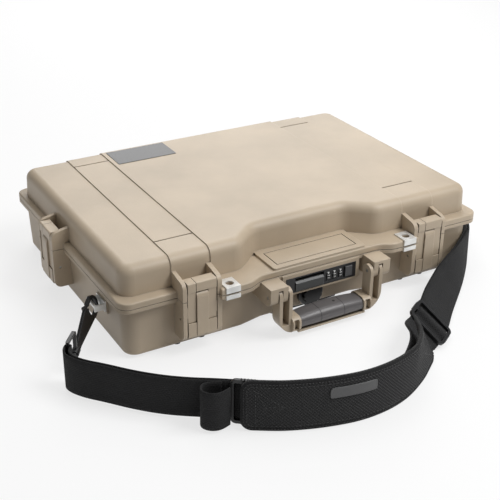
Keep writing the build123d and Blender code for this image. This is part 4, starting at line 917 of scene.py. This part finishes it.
def reach_at(outline, turn):
    """Distance from the middle to an outline along one direction."""
    ray = Vector((cos(turn), sin(turn)))
    best = 0.0
    for here, after in zip(outline, outline[1:] + outline[:1]):
        side = after - here
        cross = ray.x * side.y - ray.y * side.x
        if abs(cross) < 1e-9:
            continue
        distance = (here.x * side.y - here.y * side.x) / cross
        share = (here.x * ray.y - here.y * ray.x) / cross
        if distance > 0 and -1e-6 <= share <= 1 + 1e-6:
            best = max(best, distance)
    return best


def mirrored(right):
    """A whole outline from its right half, which runs from front to back."""
    return right + [(-x, y) for x, y in right[::-1]]


pore_waves = [(31.0, 17.0, 0.4), (53.0, 61.0, 1.9), (97.0, 83.0, 2.7), (149.0, 131.0, 0.9)]


def cut_face(x, y):
    """Slight waviness of a cut foam face, in millimetres."""
    return sum(0.12 * sin(x * a / 100 + phase) * cos(y * b / 100 + phase) for a, b, phase in pore_waves)


def foam_tray_mesh():
    """The base's foam, cut out for a laptop, with a finger hollow at each end of the pocket."""
    outer = rounded_outline(mirrored([(68, -162), (100, -169), (247, -169), (247, 169)]), 11.0)
    hollow = [Vector((200 + 22 * cos(radians(turn)), 22 * sin(radians(turn)))) for turn in range(-90, 91, 10)]
    pocket_half = [Vector((190 + 10 * cos(radians(turn)), -121 + 10 * sin(radians(turn))))
                   for turn in range(-90, 1, 15)]
    right = pocket_half + hollow + [Vector((spot.x, -spot.y)) for spot in pocket_half[::-1]]
    pocket = right + [Vector((-spot.x, spot.y)) for spot in right[::-1]]
    turns = [2 * pi * step / 720 for step in range(720)]
    outer_reach = [reach_at(outer, turn) for turn in turns]
    pocket_reach = [reach_at(pocket, turn) for turn in turns]
    rings = [(1, -2.4, 7.7), (1, -0.2, 62.0), (1, -0.4, 64.8), (1, -1.6, 65.9)]
    rings += [(2, share, 65.95) for share in (0.25, 0.5, 0.75)]
    rings += [(0, 1.2, 65.9), (0, 0.2, 64.9), (0, 0.0, 50.0), (0, 0.0, 34.0), (0, -0.3, 22.3),
              (0, -1.5, 21.7)]
    rings += [(3, share, 21.6) for share in (0.85, 0.7, 0.5, 0.3, 0.12)]
    points = []
    for kind, amount, height in rings:
        for turn, far, near in zip(turns, outer_reach, pocket_reach):
            reach = {0: near + amount, 1: far + amount, 2: far + (near - far) * amount,
                     3: near * amount}[kind]
            x, y = reach * cos(turn), reach * sin(turn)
            lift = cut_face(x, y) if kind in (2, 3) else 0.0
            side = 0.4 * sin(height * 1.7 + turn * 90) if kind == 0 and 22 < height < 60 else 0.0
            points.append(Vector((x + side * cos(turn), y + side * sin(turn), height + lift - 0.2)) * MM)
    faces = ring_faces(len(rings), len(turns))
    return mesh_from("foam tray", points, [face[::-1] for face in faces])


def foam_lid_mesh():
    """The lid's foam, moulded in rows of soft peaks that press on what lies in the pocket."""
    half_width, back, front, bay_front, corner = 248.4, 166.4, -163.4, -135.4, 12.0
    columns, rows = 166, 110
    low_face, high_face, peak, pitch = 95.0, 114.2, 7.0, 27.0

    def limits(x):
        edge = half_width - abs(x)
        cut = corner - sqrt(max(corner ** 2 - (corner - edge) ** 2, 0.0)) if edge < corner else 0.0
        share = min(max((abs(x) - 64) / 33, 0.0), 1.0)
        share = share * share * (3 - 2 * share)
        return bay_front + (front - bay_front) * share + cut, back - cut

    points = []
    for face in (0, 1):
        for column in range(columns + 1):
            x = -half_width + 2 * half_width * column / columns
            low, high = limits(x)
            for row in range(rows + 1):
                y = low + (high - low) * row / rows
                rise = peak / 2 * (1 - sin(2 * pi * x / pitch) * sin(2 * pi * y / pitch))
                height = high_face if face else low_face + 0.4 + rise + cut_face(x, y)
                points.append(Vector((x, y, height)) * MM)
    return mesh_from("foam lid", points, sheet_faces(columns, rows, face_down=True))


tray = make_piece("foam_tray", foam_tray_mesh(), "case", "foam")
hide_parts("base_foam")
lid_sheet = make_piece("foam_lid_sheet", foam_lid_mesh(), "lid", "foam")
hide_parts("lid_foam")

# ---------------------------------------------------------------- centre line of the main strap, worked out and not kept
tuple(main_strip.centre_line(webbing_width)[0])
[tuple(point) for point in main_strip.centre_line(webbing_width)]

# ---------------------------------------------------------------- stage
add_camera()
add_softbox("key", (0.75, -1.00, 1.60), (0, -0.05, 0.05), 1.0, 27)
add_softbox("top", (0.2, 0.45, 2.0), (0, 0, 0.05), 1.5, 14)
add_softbox("sheen", (0.75, 1.45, 0.95), (0, 0.05, 0.10), 1.4, 15)

world = bpy.data.worlds.new("studio")
bpy.context.scene.world = world
world.use_nodes = True
seen = add_node(world.node_tree, "ShaderNodeLightPath").outputs
shown = sum_up(world.node_tree, "MAXIMUM", seen["Is Camera Ray"], seen["Is Transmission Ray"])
world_light = world.node_tree.nodes["Background"]
world_light.inputs["Color"].default_value = (1, 1, 1, 1)
world_strength = spread_value(world.node_tree, shown, 0, 1, 0.22, 1.0)
world.node_tree.links.new(world_strength, world_light.inputs["Strength"])

floor_mesh = mesh_from("floor", [(-6, -6, 0), (6, -6, 0), (6, 6, 0), (-6, 6, 0)], [(0, 1, 2, 3)])
floor_piece = bpy.data.objects.new("floor", floor_mesh)
bpy.context.scene.collection.objects.link(floor_piece)
floor_material = bpy.data.materials.new("pale floor")
floor_material.use_nodes = True
floor_tree = floor_material.node_tree
floor_tree.nodes.remove(floor_tree.nodes["Principled BSDF"])
floor_seen = add_node(floor_tree, "ShaderNodeLightPath").outputs
floor_shown = sum_up(floor_tree, "MAXIMUM", floor_seen["Is Camera Ray"], floor_seen["Is Glossy Ray"])
matte = add_node(floor_tree, "ShaderNodeBsdfDiffuse", {"Color": (0.85, 0.85, 0.85, 1)}).outputs[0]
white = add_node(floor_tree, "ShaderNodeEmission", {"Strength": 1.0}).outputs[0]
share = sum_up(floor_tree, "MULTIPLY", floor_shown, 0.72)
mixed = add_node(floor_tree, "ShaderNodeMixShader", {0: share, 1: matte, 2: white}).outputs[0]
floor_tree.links.new(mixed, floor_tree.nodes["Material Output"].inputs[0])
floor_mesh.materials.append(floor_material)

scene = bpy.context.scene
scene.view_settings.view_transform = "Standard"
